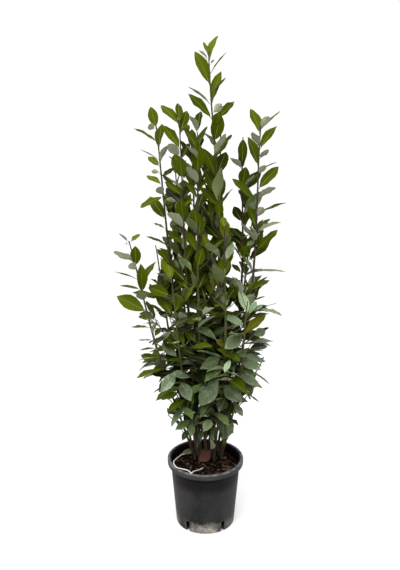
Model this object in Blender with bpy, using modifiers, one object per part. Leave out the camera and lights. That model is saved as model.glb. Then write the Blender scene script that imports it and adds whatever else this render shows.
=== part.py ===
"""Potted bay laurel: upright leafy stems from one root, in a round nursery pot.

Units are metres and +Z is up. The origin is the middle of the pot's flat underside, and -Y is the front.
A stem is a bare, tapering limb from the soil to its leafy top. The leafy top and the short side shoots are
masses of foliage: a twig with leaves fused on, each keeping clear of every limb and of every other leaf.
"""

import math
import random
from typing import NamedTuple

import bmesh
import bpy
import numpy as np
from mathutils.bvhtree import BVHTree

# Pot
POT_HEIGHT = 0.240
POT_FOOT_RADIUS = 0.100
POT_NECK_RADIUS = 0.118
POT_WALL = 0.0026
POT_FLOOR = 0.004
POT_FOOT_ROUND = 0.005
POT_SIDES = 36
LIP_RADIUS = 0.130
LIP_HEIGHT = 0.019
LIP_ROUND = 0.005
SLOT_COUNT = 5
SLOT_WIDTH = 0.014
SLOT_HEIGHT = 0.040
SLOT_DEPTH = 0.012

# Soil
SOIL_LEVEL = 0.215
SOIL_FLAT_RADIUS = 0.104
SOIL_EDGE_DROP = 0.005

# Gap that touching solids keep
SEAT = 0.0003

# Limbs
STEM_FOOT_RADIUS = 0.0058
# The foot radius that a stem of no height would have, as a share of the leader's
SHORT_STEM_SHARE = 0.55
STEM_TIP_RADIUS = 0.0015
STEM_TAPER = 0.75
STEM_BOW_SHARPNESS = 1.5
ROOT_FLARE = 1.35
FLARE_HEIGHT = 0.014
LIMB_POINTS = 6
LIMB_ROUNDNESS = 1

# Twigs
TWIG_STEP = 0.10
TWIG_FATNESS = 1.15
SHOOT_RADIUS = 0.0026
SHOOT_STEPS = 4
SHOOT_LENGTHS = (0.11, 0.19)
SHOOT_LOWEST = 0.290
SHOOT_BELOW_TOP = 0.01
SHOOT_RISE = (15.0, 62.0)
SHOOT_FAN = 55.0
SHOOT_FAN_FIRST = 0.6
SHOOT_FAN_STEP = 0.3
SHOOT_STRAY = 20.0
SHOOT_TRIES = 10
# How finely and how often a shoot's flat foot is measured against its limb while it is being seated
SEATING_POINTS = 13
SEATING_ROUNDS = 4

# Leaves
LEAF_OUTLINE = 6
LEAF_THICKNESS_SHARE = 0.024
LEAF_FOLD_SHARE = 0.05
LEAF_ARCH_SHARE = 0.10
# The first leaf's distance up its twig and the leaves' spacing, on a stem's top and on a side shoot
FIRST_LEAF = 0.020
LEAF_SPACING = 0.026
SHOOT_FIRST_LEAF = 0.035
SHOOT_LEAF_SPACING = 0.017
LEAF_TRIES = 12
LEAF_CLEARANCE = 0.0010
ROOT_SINK = 0.35
PETIOLE = 0.010
DIVERGENCE = 137.5
AZIMUTH_STRAY = 24.0
RISE_STRAY = 12.0
ROLL_STRAY = 50.0
# How much a leaf's length and its width differ from the usual
LENGTH_RANGE = (0.88, 1.12)
WIDTH_RANGE = (0.90, 1.12)
# How a twig's seed turns its first leaf, and how the draws of twigs, leaves and tries are kept apart
SEED_TURN = 77.7
SEED_STEP = 100003
LEAF_STEP = 101
SHOOT_SEEDS = 10
# Within this distance of a twig's tip the leaves are young: shorter, closer together and upright
YOUNG_STRETCH = 0.10
YOUNG_SHORTER = 0.38
YOUNG_CLOSER = 0.50
YOUNG_RISE = 76.0
# A leaf's length, its width for its length, and its rise above level, by its height above the floor
LEAF_LENGTH_AT = ((0.30, 0.55, 0.90, 1.60), (0.105, 0.112, 0.100, 0.094))
LEAF_WIDTH_SHARE_AT = ((0.50, 0.80, 1.20), (0.42, 0.38, 0.35))
LEAF_RISE_AT = (
    (0.30, 0.42, 0.52, 0.62, 0.72, 0.85, 1.00, 1.20),
    (-58.0, -42.0, -24.0, 0.0, 22.0, 38.0, 47.0, 55.0),
)
# How far the crown reaches from the pot's axis, by height
CROWN_RADIUS_AT = (
    (0.24, 0.34, 0.40, 0.47, 0.57, 0.66, 0.83, 0.90, 1.02, 1.20, 1.44, 1.50, 1.63),
    (0.10, 0.11, 0.13, 0.18, 0.235, 0.24, 0.28, 0.298, 0.285, 0.265, 0.24, 0.12, 0.07),
)
LOWEST_LEAF = 0.252

# Tie: a stiff plastic wire that comes out of the soil, lies on the lip, and turns sharply back to the soil
TIE_RADIUS = 0.0017
TIE_STEP = 0.009
TIE_ROUNDNESS = 1
TIE_TO_LIP = (
    (-0.066, 0.064, 0.2170),
    (-0.086, 0.036, 0.2240),
    (-0.1030, -0.016, 0.2370),
    (-0.1075, -0.046, 0.2420),
    (-0.0975, -0.0745, 0.2420),
    (-0.0780, -0.0870, 0.2425),
    (-0.0600, -0.0955, 0.2425),
    (-0.0465, -0.1150, 0.2424),
)
TIE_BACK = (
    (-0.0465, -0.1150, 0.2424),
    (-0.0425, -0.1045, 0.2414),
    (-0.0380, -0.0920, 0.2370),
    (-0.0240, -0.0640, 0.2250),
    (-0.0080, -0.0360, 0.2170),
)

# Plain colours, and roughness
COLOURS = {
    "pot": ((0.035, 0.036, 0.038), 0.55),
    "soil": ((0.030, 0.018, 0.013), 0.95),
    "bark": ((0.130, 0.085, 0.050), 0.80),
    "leaves": ((0.080, 0.120, 0.030), 0.45),
    "tie": ((0.600, 0.580, 0.550), 0.50),
}


class Stem(NamedTuple):
    """One upright stem: foot and tip across the floor, how far its middle bows out, and what it carries."""

    name: str
    foot: tuple
    tip: tuple
    height: float
    bow: tuple
    bare: float
    shoots: int
    seed: int


# Heights are above the floor, and bare is the share of the length that has no leaves of its own
STEMS = (
    Stem("leader", (0.022, 0.046), (0.007, 0.000), 1.580, (0.034, 0.000), 0.25, 2, 74),
    Stem("left_tall", (-0.030, 0.058), (-0.153, 0.015), 1.368, (-0.010, 0.000), 0.26, 1, 95),
    Stem("right_tall", (0.052, 0.052), (0.167, 0.000), 1.380, (0.036, 0.000), 0.28, 2, 25),
    Stem("left_low", (-0.036, 0.028), (-0.240, -0.030), 1.010, (-0.014, -0.010), 0.26, 2, 146),
    Stem("left_fore", (-0.014, 0.034), (-0.080, -0.030), 1.368, (-0.010, -0.010), 0.24, 1, 181),
    Stem("fore", (0.004, 0.020), (-0.026, -0.060), 1.345, (-0.012, -0.020), 0.24, 1, 49),
    Stem("fore_right", (0.030, 0.018), (0.056, -0.100), 1.072, (0.018, -0.020), 0.26, 2, 62),
    Stem("right_low", (0.056, 0.030), (0.130, -0.085), 0.830, (0.015, -0.020), 0.28, 2, 56),
    Stem("fore_left", (-0.020, 0.012), (-0.108, -0.090), 0.915, (-0.010, -0.020), 0.28, 2, 194),
    Stem("right_rear", (0.044, 0.080), (0.116, 0.075), 1.318, (0.036, 0.010), 0.26, 1, 111),
    Stem("rear_tall", (0.014, 0.088), (0.048, 0.110), 1.375, (0.010, 0.010), 0.26, 1, 27),
    Stem("middle", (0.000, 0.066), (-0.045, 0.080), 1.330, (-0.005, 0.005), 0.26, 1, 33),
    Stem("rear_left", (-0.020, 0.082), (-0.100, 0.130), 1.235, (-0.010, 0.010), 0.26, 2, 62),
    Stem("rear_right", (0.030, 0.092), (0.160, 0.140), 1.080, (0.015, 0.010), 0.26, 0, 118),
    Stem("rear_low", (-0.042, 0.070), (-0.165, 0.110), 0.960, (-0.010, 0.010), 0.28, 0, 12),
)


def clear_scene():
    for obj in list(bpy.data.objects):
        bpy.data.objects.remove(obj)


def new_collection(name):
    made = bpy.data.collections.new(name)
    bpy.context.scene.collection.children.link(made)
    return made


def material(name):
    colour, roughness = COLOURS[name]
    made = bpy.data.materials.get(name)
    if made is None:
        made = bpy.data.materials.new(name)
        made.use_nodes = True
        shader = made.node_tree.nodes["Principled BSDF"]
        shader.inputs["Base Color"].default_value = (*colour, 1.0)
        shader.inputs["Roughness"].default_value = roughness
        shader.inputs["Metallic"].default_value = 0.0
    return made


def mesh_object(name, points, faces, collection):
    mesh = bpy.data.meshes.new(name)
    mesh.from_pydata([tuple(p) for p in points], [], faces)
    obj = bpy.data.objects.new(name, mesh)
    collection.objects.link(obj)
    return obj


def evaluated_mesh(obj):
    """The object's mesh after its modifiers or its curve's bevel."""
    graph = bpy.context.evaluated_depsgraph_get()
    graph.update()
    return bpy.data.meshes.new_from_object(obj.evaluated_get(graph))


def tube_mesh(tube):
    """A tube's mesh, with its loose caps welded on."""
    mesh = evaluated_mesh(tube)
    shape = bmesh.new()
    shape.from_mesh(mesh)
    bmesh.ops.remove_doubles(shape, verts=shape.verts, dist=1e-6)
    shape.to_mesh(mesh)
    shape.free()
    return mesh


def turned(name, profile, finish, collection):
    """A profile of (radius, height) points turned round the pot's axis."""
    edges = [(i, i + 1) for i in range(len(profile) - 1)]
    mesh = bpy.data.meshes.new(name)
    mesh.from_pydata([(r, 0.0, z) for r, z in profile], edges, [])
    obj = bpy.data.objects.new(name, mesh)
    mesh.materials.append(material(finish))
    collection.objects.link(obj)
    screw = obj.modifiers.new("turn", "SCREW")
    screw.steps = screw.render_steps = POT_SIDES
    screw.use_merge_vertices = True
    screw.merge_threshold = 1e-5
    return obj


def wall_radius(height):
    """The pot's outer radius at a height."""
    share = height / (POT_HEIGHT - LIP_HEIGHT)
    return POT_FOOT_RADIUS + (POT_NECK_RADIUS - POT_FOOT_RADIUS) * share


def pot(collection, cutters):
    inner_top = wall_radius(POT_HEIGHT) - POT_WALL
    profile = (
        (0.0, POT_FLOOR),
        (wall_radius(POT_FLOOR) - POT_WALL, POT_FLOOR),
        (inner_top, POT_HEIGHT - LIP_ROUND),
        (inner_top + LIP_ROUND / 2, POT_HEIGHT),
        (LIP_RADIUS - LIP_ROUND, POT_HEIGHT),
        (LIP_RADIUS, POT_HEIGHT - LIP_ROUND),
        (LIP_RADIUS, POT_HEIGHT - LIP_HEIGHT),
        (wall_radius(POT_HEIGHT - LIP_HEIGHT), POT_HEIGHT - LIP_HEIGHT),
        (wall_radius(POT_FOOT_ROUND), POT_FOOT_ROUND),
        (POT_FOOT_RADIUS - POT_FOOT_ROUND, 0.0),
        (0.0, 0.0),
    )
    body = turned("pot", profile, "pot", collection)
    for i in range(SLOT_COUNT):
        turn = math.tau * (i + 0.5) / SLOT_COUNT - math.pi / 2
        slot = box_cutter("slot", (2 * SLOT_DEPTH, SLOT_WIDTH, 2 * SLOT_HEIGHT), cutters)
        slot.location = (POT_FOOT_RADIUS * math.cos(turn), POT_FOOT_RADIUS * math.sin(turn), 0.0)
        slot.rotation_euler = (0.0, 0.0, turn)
        cut = body.modifiers.new("drain", "BOOLEAN")
        cut.object = slot
        cut.operation = "DIFFERENCE"
    return body


def box_cutter(name, size, cutters):
    shape = bmesh.new()
    bmesh.ops.create_cube(shape, size=1.0)
    bmesh.ops.scale(shape, vec=size, verts=shape.verts)
    mesh = bpy.data.meshes.new(name)
    shape.to_mesh(mesh)
    shape.free()
    obj = bpy.data.objects.new(name, mesh)
    obj.hide_render = True
    obj.display_type = "WIRE"
    cutters.objects.link(obj)
    return obj


def soil(collection):
    """The plug of potting mix, a seat's gap inside the pot all round."""
    edge = SOIL_LEVEL - SOIL_EDGE_DROP
    floor = POT_FLOOR + SEAT
    inset = POT_WALL + SEAT
    profile = (
        (0.0, SOIL_LEVEL),
        (SOIL_FLAT_RADIUS, SOIL_LEVEL),
        (wall_radius(edge) - inset, edge),
        (wall_radius(floor) - inset, floor),
        (0.0, floor),
    )
    return turned("soil", profile, "soil", collection)


def stem_point(stem, share):
    """A point of the stem's line: straight from foot to tip, plus a bow that is widest in the middle."""
    bow = abs(math.sin(math.pi * share)) ** STEM_BOW_SHARPNESS
    x = stem.foot[0] + (stem.tip[0] - stem.foot[0]) * share + stem.bow[0] * bow
    y = stem.foot[1] + (stem.tip[1] - stem.foot[1]) * share + stem.bow[1] * bow
    ground = SOIL_LEVEL + SEAT
    return np.array((x, y, ground + (stem.height - ground) * share))


def stem_radius(stem, share):
    """The stem thins evenly from its foot, and a short stem starts thinner."""
    foot = STEM_FOOT_RADIUS * (SHORT_STEM_SHARE + (1.0 - SHORT_STEM_SHARE) * stem.height / STEMS[0].height)
    return STEM_TIP_RADIUS + (foot - STEM_TIP_RADIUS) * (1.0 - share) ** STEM_TAPER


def curve_tube(name, points, radii, collection, finish=None, roundness=LIMB_ROUNDNESS, profile=None):
    """A tube through the points, with a radius at each and flat filled ends."""
    data = bpy.data.curves.new(name, "CURVE")
    data.dimensions = "3D"
    data.use_fill_caps = True
    data.twist_mode = "Z_UP"
    if profile:
        data.bevel_mode = "OBJECT"
        data.bevel_object = profile
    else:
        data.bevel_depth = 1.0
        data.bevel_resolution = roundness
    line = data.splines.new("POLY")
    line.points.add(len(points) - 1)
    for slot, place, radius in zip(line.points, points, radii):
        slot.co = (*place, 1.0)
        slot.radius = radius
    obj = bpy.data.objects.new(name, data)
    if finish:
        data.materials.append(material(finish))
    collection.objects.link(obj)
    return obj


def triangle_profile(cutters):
    """The three-sided section of a twig, one metre in radius."""
    data = bpy.data.curves.new("three_sides", "CURVE")
    line = data.splines.new("POLY")
    line.points.add(2)
    line.use_cyclic_u = True
    for i, slot in enumerate(line.points):
        turn = -math.tau * i / 3
        slot.co = (math.cos(turn), math.sin(turn), 0.0, 1.0)
    obj = bpy.data.objects.new("three_sides", data)
    obj.hide_render = True
    cutters.objects.link(obj)
    return obj


def limb(stem, collection):
    """The bare lower stem with its root flare, upright at first so that its foot is cut level."""
    shares = np.linspace(0.0, stem.bare, LIMB_POINTS)
    points = [stem_point(stem, share) for share in shares]
    radii = [stem_radius(stem, share) for share in shares]
    knee = points[0] + np.array((0.0, 0.0, FLARE_HEIGHT))
    points.insert(1, knee)
    radii.insert(1, radii[0])
    radii[0] *= ROOT_FLARE
    return curve_tube(f"stem_{stem.name}", points, radii, collection, "bark")


def direction(azimuth, rise):
    """The unit vector at an azimuth from +X and a rise above level, both in degrees."""
    turn, lift = math.radians(azimuth), math.radians(rise)
    return np.array((math.cos(turn) * math.cos(lift), math.sin(turn) * math.cos(lift), math.sin(lift)))


def leaf_primitive():
    """A ring of outline points from root to tip, with a pole above and one below, as points and faces."""
    shape = bmesh.new()
    bmesh.ops.create_uvsphere(shape, u_segments=LEAF_OUTLINE, v_segments=2, radius=1.0)
    points = np.array([(v.co.y, -v.co.x, v.co.z) for v in shape.verts])
    faces = [tuple(v.index for v in f.verts) for f in shape.faces]
    shape.free()
    points[:, 1] /= np.abs(points[:, 1]).max()
    return points, faces


class Leaf(NamedTuple):
    """A leaf's root, its azimuth, rise and roll about its rib in degrees, and its length and half width."""

    root: np.ndarray
    azimuth: float
    rise: float
    roll: float
    length: float
    half_width: float


def leaf_points(leaf, primitive, start=0.0, grow=0.0):
    """The primitive's points drawn out to a blade along the leaf's axis.

    Across the blade the two halves fold up from the rib, and along it the tip bends down with the square of
    the distance. start moves the root outwards and grow thickens the blade, for testing what it touches.
    """
    axis = direction(leaf.azimuth, leaf.rise)
    upper = direction(leaf.azimuth + 180.0, 90.0 - leaf.rise)
    side = np.cross(upper, axis)
    lean = math.radians(leaf.roll)
    cos, sin = math.cos(lean), math.sin(lean)
    side, upper = side * cos + upper * sin, upper * cos - side * sin
    along = start + (primitive[:, 0] + 1.0) / 2.0 * (leaf.length - start)
    across = primitive[:, 1] * (leaf.half_width + grow)
    fold = np.abs(primitive[:, 1]) * leaf.length * LEAF_FOLD_SHARE
    arch = -leaf.length * LEAF_ARCH_SHARE * (along / leaf.length) ** 2
    height = primitive[:, 2] * (leaf.length * LEAF_THICKNESS_SHARE / 2.0 + grow) + fold + arch
    return leaf.root + np.outer(along, axis) + np.outer(across, side) + np.outer(height, upper)


class Twig(NamedTuple):
    """A leafy twig: its line of points, its radius, how far up it the leaves begin, and their spacing."""

    name: str
    line: np.ndarray
    radius: float
    first: float
    spacing: float
    seed: int


class Obstacles:
    """What is already grown: a search tree, a box and an owner for each limb, twig and leaf."""

    def __init__(self):
        self.trees = []
        self.owners = []
        self.boxes = np.empty((0, 6))

    def add(self, points, faces, owner):
        self.trees.append(BVHTree.FromPolygons([tuple(p) for p in points], faces))
        self.owners.append(owner)
        self.boxes = np.vstack((self.boxes, np.concatenate((points.min(axis=0), points.max(axis=0)))))

    def touched(self, points, faces):
        """The owners of everything that the shape's surface cuts through."""
        low, high = points.min(axis=0), points.max(axis=0)
        near = ((self.boxes[:, :3] <= high) & (self.boxes[:, 3:] >= low)).all(axis=1)
        tree = BVHTree.FromPolygons([tuple(p) for p in points], faces)
        return {self.owners[i] for i in np.flatnonzero(near) if tree.overlap(self.trees[i])}


def mesh_arrays(mesh):
    points = np.array([v.co for v in mesh.vertices])
    return points, [tuple(p.vertices) for p in mesh.polygons]


def inside_crown(points):
    """Whether a shape stays within the crown's reach and above the pot."""
    reach = np.interp(points[:, 2], *CROWN_RADIUS_AT)
    return points[:, 2].min() > LOWEST_LEAF and (np.hypot(points[:, 0], points[:, 1]) < reach).all()


def line_at(line, distance):
    """The point at a distance along a line of points."""
    along = np.concatenate(([0.0], np.cumsum(np.linalg.norm(np.diff(line, axis=0), axis=1))))
    return np.array([np.interp(distance, along, line[:, k]) for k in range(3)])


def line_length(line):
    return float(np.linalg.norm(np.diff(line, axis=0), axis=1).sum())


def leaf_places(twig):
    """The distances of the leaves up a twig, closer together where they are young."""
    total = line_length(twig.line)
    places = []
    distance = twig.first
    while distance < total:
        places.append(distance)
        young = max(0.0, 1.0 - (total - distance) / YOUNG_STRETCH)
        distance += twig.spacing * (1.0 - YOUNG_CLOSER * young)
    return places


def drawn_leaf(twig, index, distance, attempt):
    """One draw of the leaf at a distance up its twig, a golden turn on from the one below it."""
    rng = random.Random(twig.seed * SEED_STEP + index * LEAF_STEP + attempt)
    place = line_at(twig.line, distance)
    young = max(0.0, 1.0 - (line_length(twig.line) - distance) / YOUNG_STRETCH)
    length = np.interp(place[2], *LEAF_LENGTH_AT) * rng.uniform(*LENGTH_RANGE) * (1.0 - YOUNG_SHORTER * young)
    half_width = length * np.interp(place[2], *LEAF_WIDTH_SHARE_AT) * rng.uniform(*WIDTH_RANGE) / 2.0
    azimuth = twig.seed * SEED_TURN + DIVERGENCE * index + rng.uniform(-AZIMUTH_STRAY, AZIMUTH_STRAY)
    rise = np.interp(place[2], *LEAF_RISE_AT)
    rise += (YOUNG_RISE - rise) * young + rng.uniform(-RISE_STRAY, RISE_STRAY)
    roll = rng.uniform(-ROLL_STRAY, ROLL_STRAY)
    root = place - direction(azimuth, rise) * twig.radius * ROOT_SINK
    return Leaf(root, azimuth, rise, roll, length, half_width)


def fits(leaf, twig, primitive, obstacles):
    """Whether the leaf stays in the crown, clear of other masses and, past its stalk, of its own."""
    points, faces = primitive
    whole = leaf_points(leaf, points, 0.0, LEAF_CLEARANCE)
    blade = leaf_points(leaf, points, PETIOLE, LEAF_CLEARANCE)
    return inside_crown(whole) and not (
        obstacles.touched(blade, faces) or obstacles.touched(whole, faces) - {twig.name}
    )


def grow_leaves(twig, primitive, obstacles):
    """The twig's leaves. One that leaves the crown or meets anything is drawn again, then skipped."""
    points, faces = primitive
    grown = []
    for index, distance in enumerate(leaf_places(twig)):
        for attempt in range(LEAF_TRIES):
            leaf = drawn_leaf(twig, index, distance, attempt)
            if fits(leaf, twig, primitive, obstacles):
                obstacles.add(leaf_points(leaf, points, 0.0, LEAF_CLEARANCE), faces, twig.name)
                grown.append(leaf)
                break
    return grown


def keep_outer_body(mesh):
    """Drops every loose piece but the largest, which fills sealed hollows as well."""
    shape = bmesh.new()
    shape.from_mesh(mesh)
    pieces = []
    seen = set()
    for start in shape.verts:
        if start in seen:
            continue
        piece = [start]
        seen.add(start)
        for vert in piece:
            fresh = [edge.other_vert(vert) for edge in vert.link_edges]
            fresh = [v for v in fresh if v not in seen]
            seen.update(fresh)
            piece += fresh
        pieces.append(piece)
    pieces.sort(key=len)
    bmesh.ops.delete(shape, geom=[v for piece in pieces[:-1] for v in piece], context="VERTS")
    shape.to_mesh(mesh)
    shape.free()


def fuse(name, twig, leaves, primitive, collection):
    """One solid of the twig and its leaves, joined by a Boolean union."""
    points, faces = primitive
    loose = new_collection(name + "_leaves")
    for i, leaf in enumerate(leaves):
        mesh_object(f"{name}_leaf_{i}", leaf_points(leaf, points), faces, loose)
    body = bpy.data.objects.new(name, twig)
    collection.objects.link(body)
    union = body.modifiers.new("fuse", "BOOLEAN")
    union.operation = "UNION"
    union.operand_type = "COLLECTION"
    union.collection = loose
    union.solver = "MANIFOLD"
    fused = evaluated_mesh(body)
    keep_outer_body(fused)
    body.modifiers.remove(union)
    body.data = fused
    fused.materials.clear()
    fused.materials.append(material("leaves"))
    for obj in list(loose.objects):
        bpy.data.objects.remove(obj)
    bpy.data.collections.remove(loose)
    return body


def twig_mesh(name, line, radii, profile, collection):
    """The three-sided tube of a twig as a mesh."""
    tube = curve_tube(name, line, radii, collection, profile=profile)
    mesh = tube_mesh(tube)
    bpy.data.objects.remove(tube)
    return mesh


def top_twig(stem):
    """The leafy part of a stem, from a seat's gap above its limb, with its radii."""
    length = (stem.height - SOIL_LEVEL) * (1.0 - stem.bare)
    shares = np.linspace(stem.bare, 1.0, round(length / TWIG_STEP) + 1)
    line = np.array([stem_point(stem, share) for share in shares])
    start = line[1] - line[0]
    line[0] += start / np.linalg.norm(start) * SEAT
    radii = [stem_radius(stem, share) * TWIG_FATNESS for share in shares]
    twig = Twig(f"foliage_{stem.name}", line, radii[len(radii) // 2], FIRST_LEAF, LEAF_SPACING, stem.seed)
    return twig, radii


def shoot_line(stem, share, azimuth, length):
    """A side shoot's line: it leaves the limb nearly level and curves upwards."""
    low, high = SHOOT_RISE
    line = [stem_point(stem, share) + direction(azimuth, low) * (stem_radius(stem, share) + SEAT)]
    for i in range(SHOOT_STEPS):
        rise = low + (high - low) * i / (SHOOT_STEPS - 1)
        line.append(line[-1] + direction(azimuth, rise) * length / SHOOT_STEPS)
    return np.array(line)


def seated(line, radius, limb_tree):
    """The shoot's line moved along its first heading until its flat foot is a seat's gap from the limb."""
    heading = (line[1] - line[0]) / np.linalg.norm(line[1] - line[0])
    side = np.cross(heading, (0.0, 0.0, 1.0))
    side /= np.linalg.norm(side)
    up = np.cross(side, heading)
    turns = np.linspace(0.0, math.tau, SEATING_POINTS)
    for _ in range(SEATING_ROUNDS):
        rim = [line[0] + (side * math.cos(a) + up * math.sin(a)) * radius for a in turns]
        nearest = min(limb_tree.find_nearest(tuple(p))[3] for p in rim)
        line = line - heading * (nearest - SEAT)
    return line


def shoots_of(stem, limb_tree, profile, obstacles, collection):
    """The side shoots of one limb, at even heights, fanned to both sides of the way that the stem leans."""
    rng = random.Random(stem.name)
    low = (SHOOT_LOWEST - SOIL_LEVEL) / (stem.height - SOIL_LEVEL)
    top = stem.bare - SHOOT_BELOW_TOP
    outward = math.degrees(math.atan2(stem.tip[1] - stem.foot[1], stem.tip[0] - stem.foot[0]))
    made = []
    for i in range(stem.shoots):
        share = low + (top - low) * (i + 0.5) / stem.shoots
        for attempt in range(SHOOT_TRIES):
            fan = SHOOT_FAN * (1 if i % 2 else -1) * (SHOOT_FAN_FIRST + SHOOT_FAN_STEP * attempt)
            azimuth = outward + fan + rng.uniform(-SHOOT_STRAY, SHOOT_STRAY)
            line = shoot_line(stem, share, azimuth, rng.uniform(*SHOOT_LENGTHS))
            line = seated(line, SHOOT_RADIUS, limb_tree)
            radii = np.linspace(SHOOT_RADIUS, STEM_TIP_RADIUS, len(line))
            name = f"foliage_{stem.name}_{i + 1}"
            mesh = twig_mesh(name, line, radii, profile, collection)
            points, faces = mesh_arrays(mesh)
            if not obstacles.touched(points, faces) and inside_crown(points):
                obstacles.add(points, faces, name)
                seed = stem.seed * SHOOT_SEEDS + i
                twig = Twig(name, line, SHOOT_RADIUS, SHOOT_FIRST_LEAF, SHOOT_LEAF_SPACING, seed)
                made.append((twig, mesh))
                break
    return made


def limbs_and_twigs(collection, helpers):
    """Every limb, then every twig, so that the leaves can keep clear of them all."""
    profile = triangle_profile(helpers)
    obstacles = Obstacles()
    limb_trees = {}
    twigs = {}
    for stem in STEMS:
        body = limb(stem, collection)
        obstacles.add(*mesh_arrays(tube_mesh(body)), body.name)
        limb_trees[stem.name] = obstacles.trees[-1]
    for stem in STEMS:
        twig, radii = top_twig(stem)
        mesh = twig_mesh(twig.name, twig.line, radii, profile, collection)
        obstacles.add(*mesh_arrays(mesh), twig.name)
        twigs[stem.name] = [(twig, mesh)]
    for stem in STEMS:
        twigs[stem.name] += shoots_of(stem, limb_trees[stem.name], profile, obstacles, collection)
    return twigs, obstacles


def foliage(collection, helpers):
    """The limbs and the masses of foliage."""
    primitive = leaf_primitive()
    twigs, obstacles = limbs_and_twigs(collection, helpers)
    for stem in STEMS:
        for twig, mesh in twigs[stem.name]:
            leaves = grow_leaves(twig, primitive, obstacles)
            fuse(twig.name, mesh, leaves, primitive, collection)


def smooth_run(points, step):
    """A smooth line through the points, as a Catmull-Rom curve read at about even steps."""
    p = np.array(points)
    padded = np.vstack((2 * p[0] - p[1], p, 2 * p[-1] - p[-2]))
    run = []
    for i in range(len(p) - 1):
        a, b, c, d = padded[i:i + 4]
        count = max(2, round(np.linalg.norm(c - b) / step))
        bend = 2 * a - 5 * b + 4 * c - d
        twist = 3 * b - a - 3 * c + d
        for t in np.arange(count) / count:
            run.append((2 * b + (c - a) * t + bend * t ** 2 + twist * t ** 3) / 2)
    run.append(p[-1])
    return run


def tie(collection):
    line = smooth_run(TIE_TO_LIP, TIE_STEP) + smooth_run(TIE_BACK, TIE_STEP)[1:]
    return curve_tube("tie", line, [TIE_RADIUS] * len(line), collection, "tie", TIE_ROUNDNESS)


def main():
    clear_scene()
    plant = new_collection("potted bay laurel")
    helpers = new_collection("helpers")
    pot(plant, helpers)
    soil(plant)
    tie(plant)
    foliage(plant, helpers)


main()
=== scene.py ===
"""Potted bay laurel: the pot, its soil, the stems and every leaf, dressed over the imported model."""

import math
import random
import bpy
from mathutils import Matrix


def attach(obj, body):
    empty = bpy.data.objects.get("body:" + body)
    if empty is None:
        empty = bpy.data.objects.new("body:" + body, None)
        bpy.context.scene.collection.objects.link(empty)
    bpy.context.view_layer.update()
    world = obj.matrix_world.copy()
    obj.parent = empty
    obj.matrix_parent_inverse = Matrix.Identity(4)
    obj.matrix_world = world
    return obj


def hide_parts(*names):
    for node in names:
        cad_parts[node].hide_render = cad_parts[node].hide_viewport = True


bl_info = {
    "name": "Potted Bay Laurel",
    "version": (1, 0, 0),
    "blender": (4, 5, 0),
    "location": "View3D > Sidebar > Bay Laurel",
    "description": "Builds a leafy bay laurel in a round nursery pot, piece by piece",
    "category": "Object",
}

from typing import NamedTuple

import bmesh
import bpy
import numpy as np
from bpy.props import FloatProperty, FloatVectorProperty, IntProperty, PointerProperty
from mathutils import Vector
from mathutils.bvhtree import BVHTree

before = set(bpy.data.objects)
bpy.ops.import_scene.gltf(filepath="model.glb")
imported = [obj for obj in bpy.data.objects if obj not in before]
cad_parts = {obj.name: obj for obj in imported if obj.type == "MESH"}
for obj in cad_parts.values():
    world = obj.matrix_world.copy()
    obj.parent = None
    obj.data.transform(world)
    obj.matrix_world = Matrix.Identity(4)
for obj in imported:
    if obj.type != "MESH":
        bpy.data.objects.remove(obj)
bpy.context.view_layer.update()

# Pot
POT_HEIGHT = 0.240
POT_FOOT_RADIUS = 0.100
POT_NECK_RADIUS = 0.118
POT_WALL = 0.0026
POT_FLOOR = 0.004
LIP_RADIUS = 0.130
LIP_HEIGHT = 0.019
SLOT_COUNT = 5
SLOT_WIDTH = 0.014
SLOT_HEIGHT = 0.040
SLOT_DEPTH = 0.012

# Soil: its level, the fineness of its surface, the gap to the wall, how far the litter lies, and its seeds
SOIL_LEVEL = 0.215
SOIL_SIDES = 220
SOIL_RINGS = 84
SOIL_GAP = 0.0006
LITTER_RADIUS = 0.108
LITTER_SEED = 5
LUMP_SEED = 9
FALLEN_SEED = 4

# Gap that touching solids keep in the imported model
SEAT = 0.0003

# Limbs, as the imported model's
STEM_FOOT_RADIUS = 0.0058
SHORT_STEM_SHARE = 0.55
STEM_TIP_RADIUS = 0.0015
STEM_TAPER = 0.75
STEM_BOW_SHARPNESS = 1.5
ROOT_FLARE = 1.35
FLARE_HEIGHT = 0.014
LIMB_POINTS = 6
LIMB_ROUNDNESS = 1

# Twigs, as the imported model's
TWIG_STEP = 0.10
TWIG_FATNESS = 1.15
SHOOT_RADIUS = 0.0026
SHOOT_STEPS = 4
SHOOT_LENGTHS = (0.11, 0.19)
SHOOT_LOWEST = 0.290
SHOOT_BELOW_TOP = 0.01
SHOOT_RISE = (15.0, 62.0)
SHOOT_FAN = 55.0
SHOOT_FAN_FIRST = 0.6
SHOOT_FAN_STEP = 0.3
SHOOT_STRAY = 20.0
SHOOT_TRIES = 10
SEATING_POINTS = 13
SEATING_ROUNDS = 4

# Leaves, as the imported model's
LEAF_OUTLINE = 6
LEAF_THICKNESS_SHARE = 0.024
LEAF_FOLD_SHARE = 0.05
LEAF_ARCH_SHARE = 0.10
FIRST_LEAF = 0.020
LEAF_SPACING = 0.026
SHOOT_FIRST_LEAF = 0.035
SHOOT_LEAF_SPACING = 0.017
LEAF_TRIES = 18
LEAF_CLEARANCE = 0.0010
ROOT_SINK = 0.35
PETIOLE = 0.010
DIVERGENCE = 137.5
AZIMUTH_STRAY = 24.0
RISE_STRAY = 12.0
ROLL_STRAY = 50.0
LENGTH_RANGE = (0.88, 1.12)
WIDTH_RANGE = (0.90, 1.12)
SEED_TURN = 77.7
SEED_STEP = 100003
LEAF_STEP = 101
SHOOT_SEEDS = 10
YOUNG_STRETCH = 0.10
YOUNG_SHORTER = 0.12
YOUNG_CLOSER = 0.30
YOUNG_RISE_AT = ((0.45, 0.85), (-10.0, 78.0))
TIP_CUT = 0.050
BROADER_AT = ((0.35, 0.55, 1.00), (0.86, 0.90, 1.02))
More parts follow.
